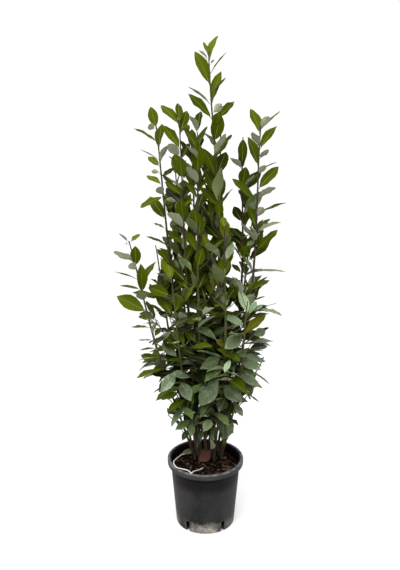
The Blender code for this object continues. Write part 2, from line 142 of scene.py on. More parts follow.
LEAF_LENGTH_AT = ((0.30, 0.55, 0.90, 1.60), (0.105, 0.112, 0.100, 0.094))
LEAF_WIDTH_SHARE_AT = ((0.50, 0.80, 1.20), (0.42, 0.38, 0.35))
LEAF_RISE_AT = (
    (0.30, 0.42, 0.52, 0.62, 0.72, 0.85, 1.00, 1.20),
    (-58.0, -42.0, -24.0, 0.0, 22.0, 38.0, 47.0, 55.0),
)
CROWN_RADIUS_AT = (
    (0.27, 0.30, 0.34, 0.40, 0.47, 0.57, 0.66, 0.83, 0.90, 1.02, 1.20, 1.44, 1.50, 1.63),
    (0.04, 0.08, 0.11, 0.14, 0.18, 0.235, 0.24, 0.28, 0.298, 0.285, 0.265, 0.24, 0.12, 0.07),
)
LOWEST_LEAF = 0.262

# Points of a measured leaf that nothing may stand before: along its rib, and beside it if it is broad
RIB_MARKS = (0.25, 0.5, 0.75, 0.95)
SIDE_MARKS = (0.35, 0.6)
SIDE_MARK_OUT = 0.75
BROAD_LEAF = 0.012
HIDING_REACH = 0.013
OPENING_MARGIN = 0.004
LINE_MARKS = 12

# The twig that bears a measured leaf at the front: where it leaves the stem, how it rises and how it sags
BEARING_SHARES = (0.05, 0.96, 60)
BEARING_SLOPE = 0.5
BEARING_SAG = 0.12

# A distance past every part of the plant, for a limit that isn't set
ANYWHERE = 9.0

# Above these heights a stem bears only the leaves that the photograph shows
MEASURED_ABOVE = {
    "leader": 1.270, "left_tall": 0.860, "right_tall": 0.820, "left_low": 0.640, "left_fore": 1.240,
    "right_rear": 1.220, "fore": 1.230,
}

# Finer growth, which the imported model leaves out: low shoots all round, and short sprays in the leaves' axils
LOW_SHOOTS = 18
LOW_SHOOTS_BELOW = {"left_low": 0.37}
LOW_SHOOT_HEIGHTS = (0.285, 0.62)
LOW_SHOOT_LENGTHS = (0.03, 0.12)
LOW_SHOOT_LEAF_SHARE = 0.92
LOW_SHOOT_SEEDS = 31
SPRAY_HEIGHTS = (0.36, 1.20)
SPRAY_LENGTHS = (0.045, 0.095)
SPRAY_RISE = (34.0, 66.0)
SPRAY_RADIUS = 0.0013
SPRAY_LEAF_SPACING = 0.015
SPRAY_FIRST_LEAF = 0.018
SPRAY_LEAF_SHARE = 0.84
SPRAY_BELOW_TOP = 0.2
SPRAY_SEEDS = 57
FOOT_FATNESS = 1.3
FOOT_SINK = 0.5
SPRAY_TIP_SHARE = 0.7
OVERLAP_FROM = 0.45
OVERLAP_SHARE = 0.50
FEWEST_LEAVES = 3
PAST_LAST_LEAF = 0.002

# Bark: the rings along a stem or twig, its sides, the swelling at each leaf, the foot's flare and depth
BARK_STEP = 0.005
STEM_SIDES = 12
TWIG_SIDES = 8
KNUCKLE_RISE = 0.16
KNUCKLE_REACH = 0.003
FLARE_FADE = 0.006
BARE_SHARE = 0.86
STEM_SINK = 0.004
TWIG_SINK = 0.002
TWIG_TIP_SHARE = 0.75

# Tie
TIE_RADIUS = 0.0017
TIE_STEP = 0.003
TIE_SIDES = 12
TIE_TO_LIP = (
    (-0.066, 0.064, 0.2170),
    (-0.086, 0.036, 0.2240),
    (-0.1030, -0.016, 0.2370),
    (-0.1075, -0.046, 0.2420),
    (-0.0975, -0.0745, 0.2420),
    (-0.0780, -0.0870, 0.2425),
    (-0.0600, -0.0955, 0.2425),
    (-0.0465, -0.1150, 0.2424),
)
TIE_BACK = (
    (-0.0465, -0.1150, 0.2424),
    (-0.0425, -0.1045, 0.2414),
    (-0.0380, -0.0920, 0.2370),
    (-0.0240, -0.0640, 0.2250),
    (-0.0080, -0.0360, 0.2170),
)

# Camera, fitted to the photograph: its place, how far it looks down, and its focal length
CAMERA_PLACE = (-0.0185, -2.45, 1.615)
CAMERA_DOWN = 17.2
CAMERA_LENS = 50.53

# The same in the photograph's pixels: its middle, its focal length, and a pixel at the plant in millimetres
PHOTO_MIDDLE = (200, 285)
PHOTO_FOCAL = 800.0
PIXEL_SIZE = 3.2

# The large lamp at the upper left: its place, what it is turned to, and its width and height
KEY_PLACE = (-0.5, -1.9, 3.7)
KEY_AIM = (0.0, 0.0, 0.8)
KEY_SIZE = (3.2, 2.6)


# The stems whose bark is green from low down
GREEN_STEMS = (
    "left_low", "left_fore", "fore", "fore_left", "fore_right", "right_low", "rear_right", "rear_low",
)


class Stem(NamedTuple):
    """One upright stem: foot and tip across the floor, how far its middle bows out, and what it carries."""

    name: str
    foot: tuple
    tip: tuple
    height: float
    bow: tuple
    bare: float
    shoots: int
    seed: int


STEMS = (
    Stem("leader", (0.022, 0.046), (0.007, 0.000), 1.580, (0.034, 0.000), 0.25, 2, 74),
    Stem("left_tall", (-0.030, 0.058), (-0.153, 0.015), 1.368, (-0.010, 0.000), 0.26, 1, 95),
    Stem("right_tall", (0.052, 0.052), (0.167, 0.000), 1.380, (0.036, 0.000), 0.28, 2, 25),
    Stem("left_low", (-0.036, 0.028), (-0.240, -0.030), 1.010, (-0.014, -0.010), 0.26, 2, 146),
    Stem("left_fore", (-0.014, 0.034), (-0.080, -0.030), 1.368, (-0.010, -0.010), 0.24, 1, 181),
    Stem("fore", (0.004, 0.020), (-0.026, -0.060), 1.345, (-0.012, -0.020), 0.24, 1, 49),
    Stem("fore_right", (0.030, 0.018), (0.056, -0.100), 1.072, (0.018, -0.020), 0.26, 2, 62),
    Stem("right_low", (0.056, 0.030), (0.130, -0.085), 0.830, (0.015, -0.020), 0.28, 2, 56),
    Stem("fore_left", (-0.020, 0.012), (-0.108, -0.090), 0.915, (-0.010, -0.020), 0.28, 2, 194),
    Stem("right_rear", (0.044, 0.080), (0.116, 0.075), 1.318, (0.036, 0.010), 0.26, 1, 111),
    Stem("rear_tall", (0.014, 0.088), (0.048, 0.110), 1.375, (0.010, 0.010), 0.26, 1, 27),
    Stem("middle", (0.000, 0.066), (-0.045, 0.080), 1.330, (-0.005, 0.005), 0.26, 1, 33),
    Stem("rear_left", (-0.020, 0.082), (-0.100, 0.130), 1.235, (-0.010, 0.010), 0.26, 2, 62),
    Stem("rear_right", (0.030, 0.092), (0.160, 0.140), 1.080, (0.015, 0.010), 0.26, 0, 118),
    Stem("rear_low", (-0.042, 0.070), (-0.165, 0.110), 0.960, (-0.010, 0.010), 0.28, 0, 12),
)


# Leaves that the photograph shows one by one, read off it as Seen names it: those on the open stems
# Rows of the tone shade are near-black leaves set where there is only shade, as painted shade
STEM_LEAVES = {
    "leader": (
        (209, 60.8, 217.7, 35.4, 5.2, "bright"), (208.3, 57.7, 203.2, 42.3, 4.2, "olive"),
        (206.7, 60, 198.5, 50, 2.4, "under_white"), (209.2, 65.4, 214.2, 59.6, 3.2, "under_white"),
        (210, 74.2, 227.7, 51.3, 1.6, "deep"), (208.2, 85.8, 194.5, 51, 9.6, "olive"),
        (211.5, 104.2, 221.3, 70.8, 7, "olive"), (212, 97, 226, 77, 2.5, "under_green"),
        (210.4, 104.6, 187.5, 86.7, 2.6, "under_white"), (208.3, 119.6, 188.3, 93.8, 7, "olive"),
        (212, 114, 221.7, 103.8, 6.5, "under_white"), (213, 128, 219, 112.5, 7, "olive"),
        (213, 124, 234.6, 101.3, 6.5, "olive"), (213.5, 139, 224.5, 124.5, 3.6, "olive"),
        (212.5, 143, 219.5, 113, 11, "olive"), (215, 156, 225, 133, 6.5, "under_pale"),
        (214.5, 157, 232, 134.5, 5, "green"), (214, 178, 203.5, 148, 8.5, "olive"),
        (214.5, 199, 205, 170, 9, "green"), (217, 208, 200.5, 186, 7.5, "olive"),
        (219.5, 205, 221.5, 167, 9, "under_green"), (219, 222, 218, 198, 7, "olive"),
        (217, 158, 227, 139, 5.5, "green"), (221, 208, 232.5, 188, 2.5, "deep"),
        (219, 240, 204, 224, 8, "deep"),
    ),
    "left_tall": (
        (156.2, 129.2, 150.5, 106.7, 8.3, "bright"), (155, 129, 148, 125.4, 6, "under_pale"),
        (159.3, 149.2, 162, 123.3, 6.7, "olive"), (157.2, 142.5, 133.4, 127.9, 3, "olive"),
        (158.8, 159.6, 139.3, 148.8, 1.4, "under_grey"), (158.8, 167, 148, 156.3, 5.5, "bright"),
        (161, 162.5, 168.8, 144.2, 5, "under_white"), (159.7, 172.5, 151.5, 171, 4, "under_pale"),
        (160, 185, 146.3, 175.5, 5, "bright"), (163, 179, 174.5, 167.5, 4, "deep"),
        (163.5, 196, 158, 187, 7, "under_grey"), (165.5, 220, 149.5, 196.5, 9, "olive"),
        (164, 200, 176, 201, 4, "under_pale"), (160, 196, 140.5, 207.5, 6, "olive"),
        (165.5, 229, 152, 222.5, 3, "under_grey"), (166.5, 245, 146, 236, 2.4, "deep"),
        (165, 213, 172, 203, 2.6, "deep"), (168, 266, 157, 248.5, 6, "olive"),
        (170, 284, 156, 272, 5, "under_grey"),
    ),
    "right_tall": (
        (259, 134.6, 250.3, 108.8, 7.5, "olive"), (261, 130, 269.3, 116.3, 6, "under_white"),
        (261.3, 129, 280.5, 110.4, 2.2, "olive"), (261, 150, 277.2, 125.4, 6.7, "olive"),
        (258.4, 147.5, 252.2, 131.7, 6, "under_grey"), (256.3, 166.7, 247.8, 136.3, 8, "olive"),
        (260, 159.6, 268.4, 149.2, 4.5, "under_grey"), (258.8, 175, 265.5, 165, 5, "under_white"),
        (259.5, 190, 278.8, 166, 8.5, "olive"), (260, 172, 277.6, 161.7, 1.4, "deep"),
        (259.5, 199.5, 275.3, 187, 5, "under_grey"), (259.5, 214.5, 286.5, 202, 2.8, "deep"),
        (259, 218, 263.5, 207, 6, "under_white"), (258.5, 229, 248, 206.5, 7.5, "olive"),
        (257.5, 205, 232, 178.5, 6, "green"), (259, 233, 281, 221.5, 3.5, "under_white"),
        (258.5, 231, 269, 222, 2, "deep"), (258, 252, 277.5, 229.5, 6.5, "olive"),
        (257, 263, 239, 243, 1.8, "olive"), (257, 271, 287.5, 271.5, 2.6, "under_white"),
        (257.5, 243, 241, 223, 4.5, "under_grey"), (257, 240, 247, 246, 4, "low_grey"),
        (255, 273, 240, 254, 3.5, "low_green"), (257, 242, 250, 226, 4, "under_grey"),
        (254, 290, 270, 280, 6, "olive"), (252, 302, 265.5, 296, 1.6, "deep"),
    ),
    "left_low": (
        (132.8, 242.8, 140.3, 234, 4, "bright"), (130.3, 242.6, 118.5, 232.8, 3, "under_white"),
        (130.9, 244.5, 125.3, 243.3, 2.5, "under_grey"), (135.8, 267.4, 135.3, 245.8, 9, "olive"),
        (131.9, 262.2, 113.7, 251.2, 5.5, "under_grey"), (135.8, 271, 129.5, 263.7, 7, "under_grey"),
        (142.4, 293.7, 140.8, 263.7, 9, "olive"), (137, 279.5, 113.7, 271.6, 1.6, "deep"),
        (138, 289.5, 119, 285.8, 3, "olive"), (142, 284, 156.2, 261.2, 5.5, "olive"),
        (142, 302, 140.3, 290.3, 11, "under_green"), (142.8, 312, 116.6, 296.2, 14, "bright"),
        (148, 321, 138, 315.5, 4, "bright"), (149.5, 327.5, 130.5, 327, 2.6, "olive"),
        (153.5, 340, 136.5, 340.5, 1.8, "under_grey"), (155.5, 348, 139.5, 350, 2, "deep"),
        (158.5, 357, 138.5, 371.5, 2, "deep"), (152.5, 335, 157, 319.5, 4, "under_white"),
        (153, 338, 160, 328, 5, "olive"), (145, 303, 163, 312, 3, "deep"),
        (155, 345, 171, 331, 6, "under_grey"), (158, 357, 137, 361, 1.4, "under_grey"),
    ),
    "left_fore": (
        (177, 124.7, 160.9, 105.1, 7, "olive"), (178.4, 119.7, 177.8, 103, 6.5, "olive"),
        (179.5, 135.5, 186.8, 110.9, 9, "olive"), (178.6, 149.5, 163.4, 125, 7.5, "olive"),
        (178.4, 156.3, 168, 143.8, 8, "under_grey"), (180, 131, 190, 126, 5, "under_olive"),
        (181.5, 180, 180, 157, 11, "green"), (181.5, 223, 181, 199, 11, "olive"),
        (180, 229, 167.5, 212, 7.5, "under_grey"), (180, 197, 165, 181.5, 6, "olive"),
        (180, 190, 167, 177, 3.5, "under_grey"), (178.5, 166, 167.5, 155.5, 2, "deep"),
        (183, 200, 193, 183, 6, "deep"), (182, 181, 188, 171, 3, "deep"), (182, 231, 171, 226, 4, "deep"),
        (181, 205, 166, 188, 9, "shade"), (182, 160, 189, 143, 6, "deep"),
        (183, 246, 165, 230.5, 6, "olive"), (183, 262, 196, 240, 7, "olive"),
    ),
    "right_rear": (
        (244.5, 165, 243, 139, 8, "olive"), (244.3, 188, 246, 167, 9.5, "green"),
        (243.5, 169, 230.5, 157.5, 5, "under_white"), (247, 190, 255.5, 175, 3, "under_grey"),
        (246, 223, 234, 206, 7.5, "deep"), (246, 262, 247, 244.5, 12, "green"),
        (245, 245, 231, 236, 6, "deep"), (245, 240, 230, 227, 6, "deep"), (243, 274, 232, 264, 4, "deep"),
        (243, 283, 226, 279, 4, "shade"), (244, 279, 229, 288, 6, "low_grey"),
    ),
    "fore": (
        (197.5, 175, 197, 142, 12, "olive"), (196, 229, 194.5, 210, 9.5, "olive"),
        (194.5, 233, 187, 218, 6.5, "under_green"), (195, 185, 187, 166, 7, "under_grey"),
        (197, 199, 183, 180, 4.5, "olive"), (198, 131, 200.5, 111, 6.5, "deep"),
        (197.5, 132, 190, 116, 5, "under_grey"), (197, 150, 186, 131, 5.5, "olive"),
        (198.5, 148, 207, 126, 5, "green"), (197.5, 152, 203, 138, 4, "deep"),
        (197, 160, 186, 145, 4.5, "under_grey"), (197, 197, 184, 206, 3, "green"),
        (196, 253, 184, 231, 7.5, "olive"), (196, 268, 202, 248, 8.5, "olive"),
        (196.5, 210, 203, 193, 6, "deep"),
    ),
}

# Those on the front of the low crown, whose last value is how far back their root is guessed to be, in metres.
# Where it is over 0 they are dark leaves set inside the crown, where the photograph shows only shade.
FRONT_LEAVES = (
    (171, 296, 148.5, 286.5, 9.5, "olive", -0.06), (172, 316, 164, 301, 9, "olive", -0.07),
    (165, 368, 135.5, 378.5, 5.5, "olive", -0.03), (177, 371, 160, 393, 11, "low_pale", -0.06),
    (172, 383, 152.5, 393.5, 1.6, "low_dark", -0.02), (181, 391, 161.5, 400.5, 6, "green", -0.05),
    (188, 398, 167, 412.5, 6.5, "green", -0.06), (180, 380, 191, 401, 12, "low_slate", -0.08),
    (178, 358, 161, 343, 10, "low_grey", -0.06), (196, 364, 165, 366, 5, "low_grey", -0.07),
    (220, 376, 199, 406.5, 17, "low_grey", -0.09), (222, 384, 242.5, 402, 15, "low_slate", -0.08),
    (245, 328, 223, 313.5, 7.5, "pale", -0.07), (248, 315, 239.5, 290, 9, "pale", -0.07),
    (248, 316, 256.5, 301, 6, "pale", -0.07), (250, 313, 262.5, 305, 4.5, "low_pale", -0.06),
    (243, 335, 266, 314, 9, "amber", -0.06), (252, 336, 266, 330, 9, "low_green", -0.05),
    (218, 341, 195, 327, 7, "low_grey", -0.08), (226, 359, 195.5, 350.5, 3.4, "low_pale", -0.09),
    (222, 357, 199.5, 369, 11, "low_slate", -0.08), (231, 358, 224.5, 372.5, 5.5, "pale", -0.1),
    (197, 343, 184, 331, 7, "olive", -0.07), (243, 334, 225, 349, 13, "low_grey", -0.07),
    (234, 372, 263, 388.5, 8, "low_grey", -0.05), (240, 369, 255, 378, 4.5, "low_green", -0.05),
    (250, 371, 271, 385.5, 2.4, "low_grey", -0.02), (240, 359, 261, 369.5, 10, "low_grey", -0.04),
    (242, 356, 266, 361, 7, "low_grey", -0.03), (248, 350, 267.5, 346, 7, "low_dark", -0.03),
    (251, 343, 273.5, 340.5, 4, "low_grey", -0.03), (254, 311, 272, 311, 5, "deep", -0.02),
    (258, 309, 282, 316, 3.5, "low_pale", -0.03), (234, 402, 243, 416.5, 6.5, "low_grey", -0.06),
    (240, 390, 261, 403, 1.6, "low_dark", -0.01), (226, 396, 219, 412, 12, "low_dark", -0.06),
    (184, 406, 170.5, 427, 6.5, "low_grey", -0.06), (191, 419, 175, 430, 7.5, "low_green", -0.06),
    (193, 421, 191, 437, 7, "low_green", -0.07), (213, 418, 203, 431.5, 8.5, "low_grey", -0.08),
    (215, 411, 229, 427, 6.5, "low_green", -0.07), (222, 416, 239, 426, 4.5, "low_dark", -0.05),
    (190, 428, 182, 441, 6, "low_dark", -0.06), (212, 400, 200, 418, 9, "low_dark", -0.07),
    (205, 312, 186, 304, 6, "low_slate", -0.07), (166, 336, 152, 345, 5, "low_dark", -0.04),
    (214, 300, 224, 287, 9, "low_dark", -0.08), (206, 300, 199, 282, 8, "deep", -0.06),
    (232, 352, 240, 361, 8, "green", -0.09), (190, 318, 176, 325, 6, "low_dark", -0.07),
    (210, 325, 222, 318, 6, "low_dark", -0.06), (200, 384, 190, 372, 7, "low_dark", -0.04),
    (245, 392, 251, 400, 2, "low_dark", -0.02), (188, 290, 178, 274, 8, "olive", -0.06),
    (224, 241, 225, 219, 8.5, "young", -0.1), (225, 229, 222.5, 216.5, 6, "young", -0.11),
    (222, 259, 200.5, 242, 6, "low_slate", -0.1), (225, 277, 224, 257, 10, "olive", -0.11),
    (222, 285, 213.5, 263, 8, "under_green", -0.09), (193, 273, 177, 256, 5, "low_green", -0.07),
    (171, 281, 162, 258, 6.5, "amber", -0.09), (172, 282, 167.5, 264, 7, "young", -0.1),
    (186, 282, 170, 266, 8, "deep", -0.06), (226, 262, 233, 243, 6, "low_pale", -0.08),
    (216, 424, 213, 441, 6, "low_dark", -0.06), (222, 420, 224, 440, 6, "low_dark", -0.04),
    (205, 425, 200, 442, 5, "low_dark", -0.06), (233, 400, 228, 420, 7, "low_dark", -0.03),
    (200, 410, 204, 435, 8, "shade", 0.03), (210, 408, 212, 434, 8, "low_dark", 0.04),
    (218, 408, 220, 433, 8, "low_green", 0.03), (227, 406, 228, 431, 8, "low_dark", 0.03),
    (193, 412, 196, 435, 8, "shade", 0.03), (186, 408, 187, 430, 7, "low_dark", 0.02),
    (190, 384, 195, 408, 9, "shade", 0.05), (200, 379, 204, 405, 9, "low_dark", 0.04),
    (208, 384, 211, 411, 9, "shade", 0.05), (216, 386, 219, 412, 9, "low_dark", 0.04),
    (226, 384, 229, 410, 9, "shade", 0.05), (234, 384, 237, 408, 8, "low_dark", 0.04),
    (184, 384, 184, 408, 8, "low_dark", 0.04), (196, 395, 189, 417, 9, "shade", 0.06),
    (222, 398, 214, 420, 9, "shade", 0.06), (204, 398, 207, 422, 8, "shade", 0.06),
    (222, 411, 225, 434, 7, "low_dark", 0.05), (205, 407, 207, 432, 7, "low_dark", 0.05),
    (198, 290, 206, 272, 9, "deep", -0.07), (236, 300, 231, 283, 7, "deep", -0.05),
    (226, 301, 236, 286, 8, "deep", -0.06), (242, 296, 232, 276, 6, "under_grey", -0.04),
    (208, 344, 199, 332, 7, "low_dark", -0.06),
)

# Places that the photograph leaves open to the sky, as Opening names them
OPENINGS = (
    (230, 172, 6), (228, 186, 3), (252, 170, 5), (253, 190, 5), (236, 197, 5), (233, 216, 5), (249, 228, 4),
    (248, 258, 2.5), (239, 266, 3), (231, 271, 3.5), (251, 266, 4), (272, 150, 8), (280, 180, 8),
    (272, 207, 3.5), (276, 214, 4), (275, 250, 10), (272, 260, 9), (288, 235, 10), (290, 160, 10),
    (236, 145, 5), (231, 135, 7), (226, 125, 6), (216, 122, 3), (170, 135, 3.5), (146, 190, 9),
    (142, 168, 7), (152, 180, 3), (169, 160, 5), (186, 187, 3.5), (192, 208, 3.5), (169, 223, 3),
    (186, 226, 3), (199, 216, 2.5), (150, 225, 4), (150, 244, 5), (158.5, 243, 3.5), (152, 268, 6),
    (148, 280, 3), (160, 262, 2.5), (165, 323, 6), (165, 341, 3.5), (161, 354, 2), (191, 309, 4),
    (190, 370, 2), (174, 396, 3), (155, 300, 3), (152, 330, 2.5), (145, 334, 5), (145, 344, 3.5),
    (148, 353, 3), (150, 383, 7), (163, 406, 5), (199, 300, 2), (233, 306, 4), (252, 320, 4), (240, 343, 3),
    (239, 365, 3), (262, 295, 7), (258, 304, 2), (250, 410, 8), (257, 392, 5), (268, 350, 3), (245, 348, 2),
    (160, 420, 8), (218, 255, 3), (222, 206, 3), (223, 222, 3), (178, 318, 2),
)

# How leaves are read: their usual lengths, half width as a share of it, and the width in pixels under which one
# is seen from its edge
STEM_LEAF_LENGTH = 0.100
FRONT_LEAF_LENGTH = 0.108
HALF_WIDTH_SHARE = 0.185
MOST_HALF_WIDTH_SHARE = 0.30
EDGE_ON_WIDTH = 3.5
EDGE_ON_SHOWN = 0.45
EDGE_ON_LEAN = 0.25
LEAST_LEAN = 0.18
MOST_LEAN = (0.7, 0.012)
CROWN_FRONT = -0.168
CROWN_REAR = 0.218
HANGING = -0.25
ROLLS = (-80, 81, 4.0)
ROLL_COST = 0.0015
ROLL_MATCH = 0.12
LEAST_BREADTH = 0.05
SIGHTED_SHARES = (0.1, 1.0, 3000)

# Blurred margins hide a part of a blade's width, and more of it above this row of pixels
BLUR_ROW = 300
HIGH_BLUR = 1.24
LOW_BLUR = 1.07

# A broad leaf that stands upright before its stem, below this row of pixels, lies close to the stem
CLOSE_BELOW_ROW = 110
CLOSE_WIDTH = 7.0
CLOSE_ACROSS = 7.0
CLOSE_HEIGHT = 10
CLOSE_GAP = 0.001
CLOSE_LEAN = (0.001, 0.004)

COLOUR = {"subtype": "COLOR", "size": 3, "min": 0.0, "max": 1.0}
LENGTH = {"subtype": "DISTANCE", "unit": "LENGTH"}


class PotSettings(bpy.types.PropertyGroup):
    """Colours, stains and fineness of the pot."""

    colour: FloatVectorProperty(
        name="Plastic", description="Colour of the pot's plastic", default=(0.0222, 0.0219, 0.0222), **COLOUR
    )
    lime: FloatVectorProperty(
        name="Lime", description="Colour of the lime stains at the foot", default=(0.52, 0.46, 0.38), **COLOUR
    )
    stain_height: FloatProperty(
        name="Stain height", description="How far up the wall the lime stains reach",
        min=0.0, max=0.10, default=0.040, **LENGTH,
    )
    facets: IntProperty(name="Facets", description="Facets round the pot", min=36, max=256, default=144)


class SoilSettings(bpy.types.PropertyGroup):
    """Colour and litter of the soil."""

    colour: FloatVectorProperty(
        name="Soil", description="Colour of the potting mix", default=(0.0085, 0.0042, 0.0030), **COLOUR
    )
    lumps: FloatProperty(
        name="Lumps", description="How high the soil's lumps are", min=0.0, max=0.01, default=0.0050, **LENGTH
    )
    chips: IntProperty(
        name="Bark chips", description="How many bark chips lie on the soil", min=0, max=900, default=520
    )
    crumbs: IntProperty(
        name="Pale crumbs", description="How many pale mineral crumbs show", min=0, max=200, default=34
    )


class StemSettings(bpy.types.PropertyGroup):
    """Colours and relief of the bark."""

    bark: FloatVectorProperty(
        name="Old bark", description="Colour of the bark near the soil", default=(0.060, 0.043, 0.028), **COLOUR
    )
    young: FloatVectorProperty(
        name="Young bark", description="Colour of the stems near their tips",
        default=(0.088, 0.096, 0.024), **COLOUR,
    )
    relief: FloatProperty(
        name="Bark relief", description="Depth of the bark's ridges, as a share of the radius",
        subtype="FACTOR", min=0.0, max=0.3, default=0.07,
    )


class LeafSettings(bpy.types.PropertyGroup):
    """Colours, thickness and waves of the leaves."""

    upper: FloatVectorProperty(
        name="Upper side", description="Colour of a full-grown leaf's upper side",
        default=(0.060, 0.084, 0.0025), **COLOUR,
    )
    # painted sheen: the low leaves' grey green is partly their own duller, dusty colour and partly painted sheen
    # of the sky
    low: FloatVectorProperty(
        name="Low leaves", description="Colour of the older, lower leaves' upper side",
        default=(0.080, 0.104, 0.052), **COLOUR,
    )
    under: FloatVectorProperty(
        name="Underside", description="Colour of a leaf's underside", default=(0.230, 0.262, 0.140), **COLOUR
    )
    thickness: FloatProperty(
        name="Thickness", description="Thickness of a blade", min=0.0002, max=0.002, default=0.0008, **LENGTH
    )
    wave: FloatProperty(
        name="Wave", description="Height of the waves along a leaf's margin, as a share of its length",
        subtype="FACTOR", min=0.0, max=0.1, default=0.036,
    )


class TieSettings(bpy.types.PropertyGroup):
    """Colour of the tie."""

    colour: FloatVectorProperty(
        name="Plastic", description="Colour of the tie", default=(0.76, 0.73, 0.68), **COLOUR
    )


class StageSettings(bpy.types.PropertyGroup):
    """The floor and the light."""

    floor: FloatVectorProperty(
        name="Floor", description="Colour of the floor", default=(0.90, 0.90, 0.90), **COLOUR
    )
    radius: FloatProperty(
        name="Floor radius", description="Radius of the round floor", min=0.3, default=1.30, **LENGTH
    )
    zenith: FloatProperty(
        name="Light from above", description="Strength of the light overhead", min=0.0, default=1.38
    )
    horizon: FloatProperty(
        name="Light from the sides", description="Strength at the horizon", min=0.0, default=0.53
    )
    key: FloatProperty(
        name="Key light", description="Power of the large lamp", unit="POWER", min=0.0, default=135.0
    )


class Laurel(bpy.types.PropertyGroup):
    """All the settings, by what they are about."""

    pot: PointerProperty(type=PotSettings)
    soil: PointerProperty(type=SoilSettings)
    stem: PointerProperty(type=StemSettings)
    leaf: PointerProperty(type=LeafSettings)
    tie: PointerProperty(type=TieSettings)
    stage: PointerProperty(type=StageSettings)


class Value:
    """A shader socket that Python's arithmetic works on. Each operation adds one Math node."""

    def __init__(self, nodes, socket):
        self.nodes = nodes
        self.socket = socket

    def math(self, operation, first, second):
        """The Math node that each operator adds."""
        return self.nodes.node("ShaderNodeMath", {"operation": operation}, {0: first, 1: second}, "Value")

    def __add__(self, other):
        return self.math("ADD", self, other)

    def __sub__(self, other):
        return self.math("SUBTRACT", self, other)

    def __rsub__(self, other):
        return self.math("SUBTRACT", other, self)

    def __mul__(self, other):
        return self.math("MULTIPLY", self, other)

    def __pow__(self, other):
        return self.math("POWER", self, other)

    __radd__ = __add__
    __rmul__ = __mul__


class Nodes:
    """A node tree being wired."""

    def __init__(self, tree):
        self.tree = tree
        self.place = self.node("ShaderNodeTexCoord", {}, {}, "Object")

    def node(self, kind, settings, sockets, output):
        """Adds a node, makes its settings, fills or links its sockets, and gives the named output."""
        made = self.tree.nodes.new(kind)
        for key, value in settings.items():
            setattr(made, key, value)
        for key, value in sockets.items():
            if isinstance(value, Value):
                self.tree.links.new(value.socket, made.inputs[key])
            else:
                made.inputs[key].default_value = value
        return Value(self, made.outputs[output])

    def blend(self, factor, first, second):
        """A colour between two others."""
        first, second = [c if isinstance(c, Value) else (*c, 1.0) for c in (first, second)]
        settings = {"data_type": "RGBA", "clamp_factor": True}
        return self.node("ShaderNodeMix", settings, {0: factor, 6: first, 7: second}, 2)

    def vector(self, operation, first, second):
        """Two vectors, one of which may be plain numbers, taken together."""
        return self.node("ShaderNodeVectorMath", {"operation": operation}, {0: first, 1: second}, "Vector")

    def noise(self, scale, detail=2.0, stretch=(1.0, 1.0, 1.0), shift=(0.0, 0.0, 0.0)):
        """Cloudy noise from 0 to 1 on object coordinates, drawn out along the axes by a stretch."""
        moved = self.vector("ADD", self.vector("MULTIPLY", self.place, stretch), shift)
        sockets = {"Vector": moved, "Scale": scale, "Detail": detail, "Roughness": 0.6}
        return self.node("ShaderNodeTexNoise", {}, sockets, "Fac")

    def cells(self, scale):
        """Distance to the nearest of many scattered points, for grains and pits."""
        return self.node("ShaderNodeTexVoronoi", {}, {"Vector": self.place, "Scale": scale}, "Distance")

    def ramp(self, value, low, high):
        """0 below low, 1 above high, and even in between."""
        sockets = {"Value": value, "From Min": low, "From Max": high}
        return self.node("ShaderNodeMapRange", {"clamp": True}, sockets, "Result")

    def patches(self, low, high, *size, **place):
        """Noise made into patches: 0 where it is below low, and 1 where it is above high."""
        return self.ramp(self.noise(*size, **place), low, high)

    def axis(self, name):
        """One of the object coordinates."""
        return self.node("ShaderNodeSeparateXYZ", {}, {"Vector": self.place}, name)


class Finish(Nodes):
    """A material being made: its shader's constants are set directly, and what varies is fed in."""

    def __init__(self, name, colour, roughness, **constants):
        self.material = bpy.data.materials.new(name)
        self.material.use_nodes = True
        self.material.diffuse_color = (*colour, 1.0)
        super().__init__(self.material.node_tree)
        self.shader = self.tree.nodes["Principled BSDF"]
        self.shader.inputs["Base Color"].default_value = (*colour, 1.0)
        self.shader.inputs["Roughness"].default_value = roughness
        for key, value in constants.items():
            self.shader.inputs[key.replace("_", " ")].default_value = value

    def feed(self, name, value):
        """Links a value to one of the shader's sockets."""
        self.tree.links.new(value.socket, self.shader.inputs[name])

    def shaded(self, factor, colour, low, high):
        """A colour scaled by one set of shares where the factor is 0, and by another where it is 1."""
        return self.blend(factor, tinted(colour, *low), tinted(colour, *high))

    def bump(self, height, strength, distance):
        """Raises the surface by a height from 0 to 1 times a distance in metres."""
        sockets = {"Height": height, "Strength": strength, "Distance": distance}
        self.feed("Normal", self.node("ShaderNodeBump", {}, sockets, "Normal"))


def tinted(colour, red=1.0, green=1.0, blue=1.0):
    """A colour with each part scaled."""
    return tuple(min(1.0, c * k) for c, k in zip(colour, (red, green, blue)))


def new_mesh(name, points, quads, triangles, smooth=True):
    """An object from arrays of points, four-sided faces and three-sided faces."""
    mesh = bpy.data.meshes.new(name)
    faces = np.asarray(quads, int).reshape(-1, 4).tolist() + np.asarray(triangles, int).reshape(-1, 3).tolist()
    mesh.from_pydata(np.asarray(points, float).tolist(), [], faces)
    mesh.polygons.foreach_set("use_smooth", np.full(len(faces), smooth))
    obj = bpy.data.objects.new(name, mesh)
    bpy.context.scene.collection.objects.link(obj)
    return obj


def finished(obj, slot, *nodes):
    """Puts a piece on the part's body and hides the nodes it stands for; the slot is not used."""
    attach(obj, "root")
    if nodes:
        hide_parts(*nodes)
    return obj


def grid_quads(rows, columns):
    """The faces of a grid of rows by columns, whose last column joins the first."""
    r, c = np.meshgrid(np.arange(rows - 1), np.arange(columns), indexing="ij")
    r, c = r.ravel(), c.ravel()
    d = (c + 1) % columns
    return np.stack((r * columns + c, r * columns + d, (r + 1) * columns + d, (r + 1) * columns + c), axis=1)


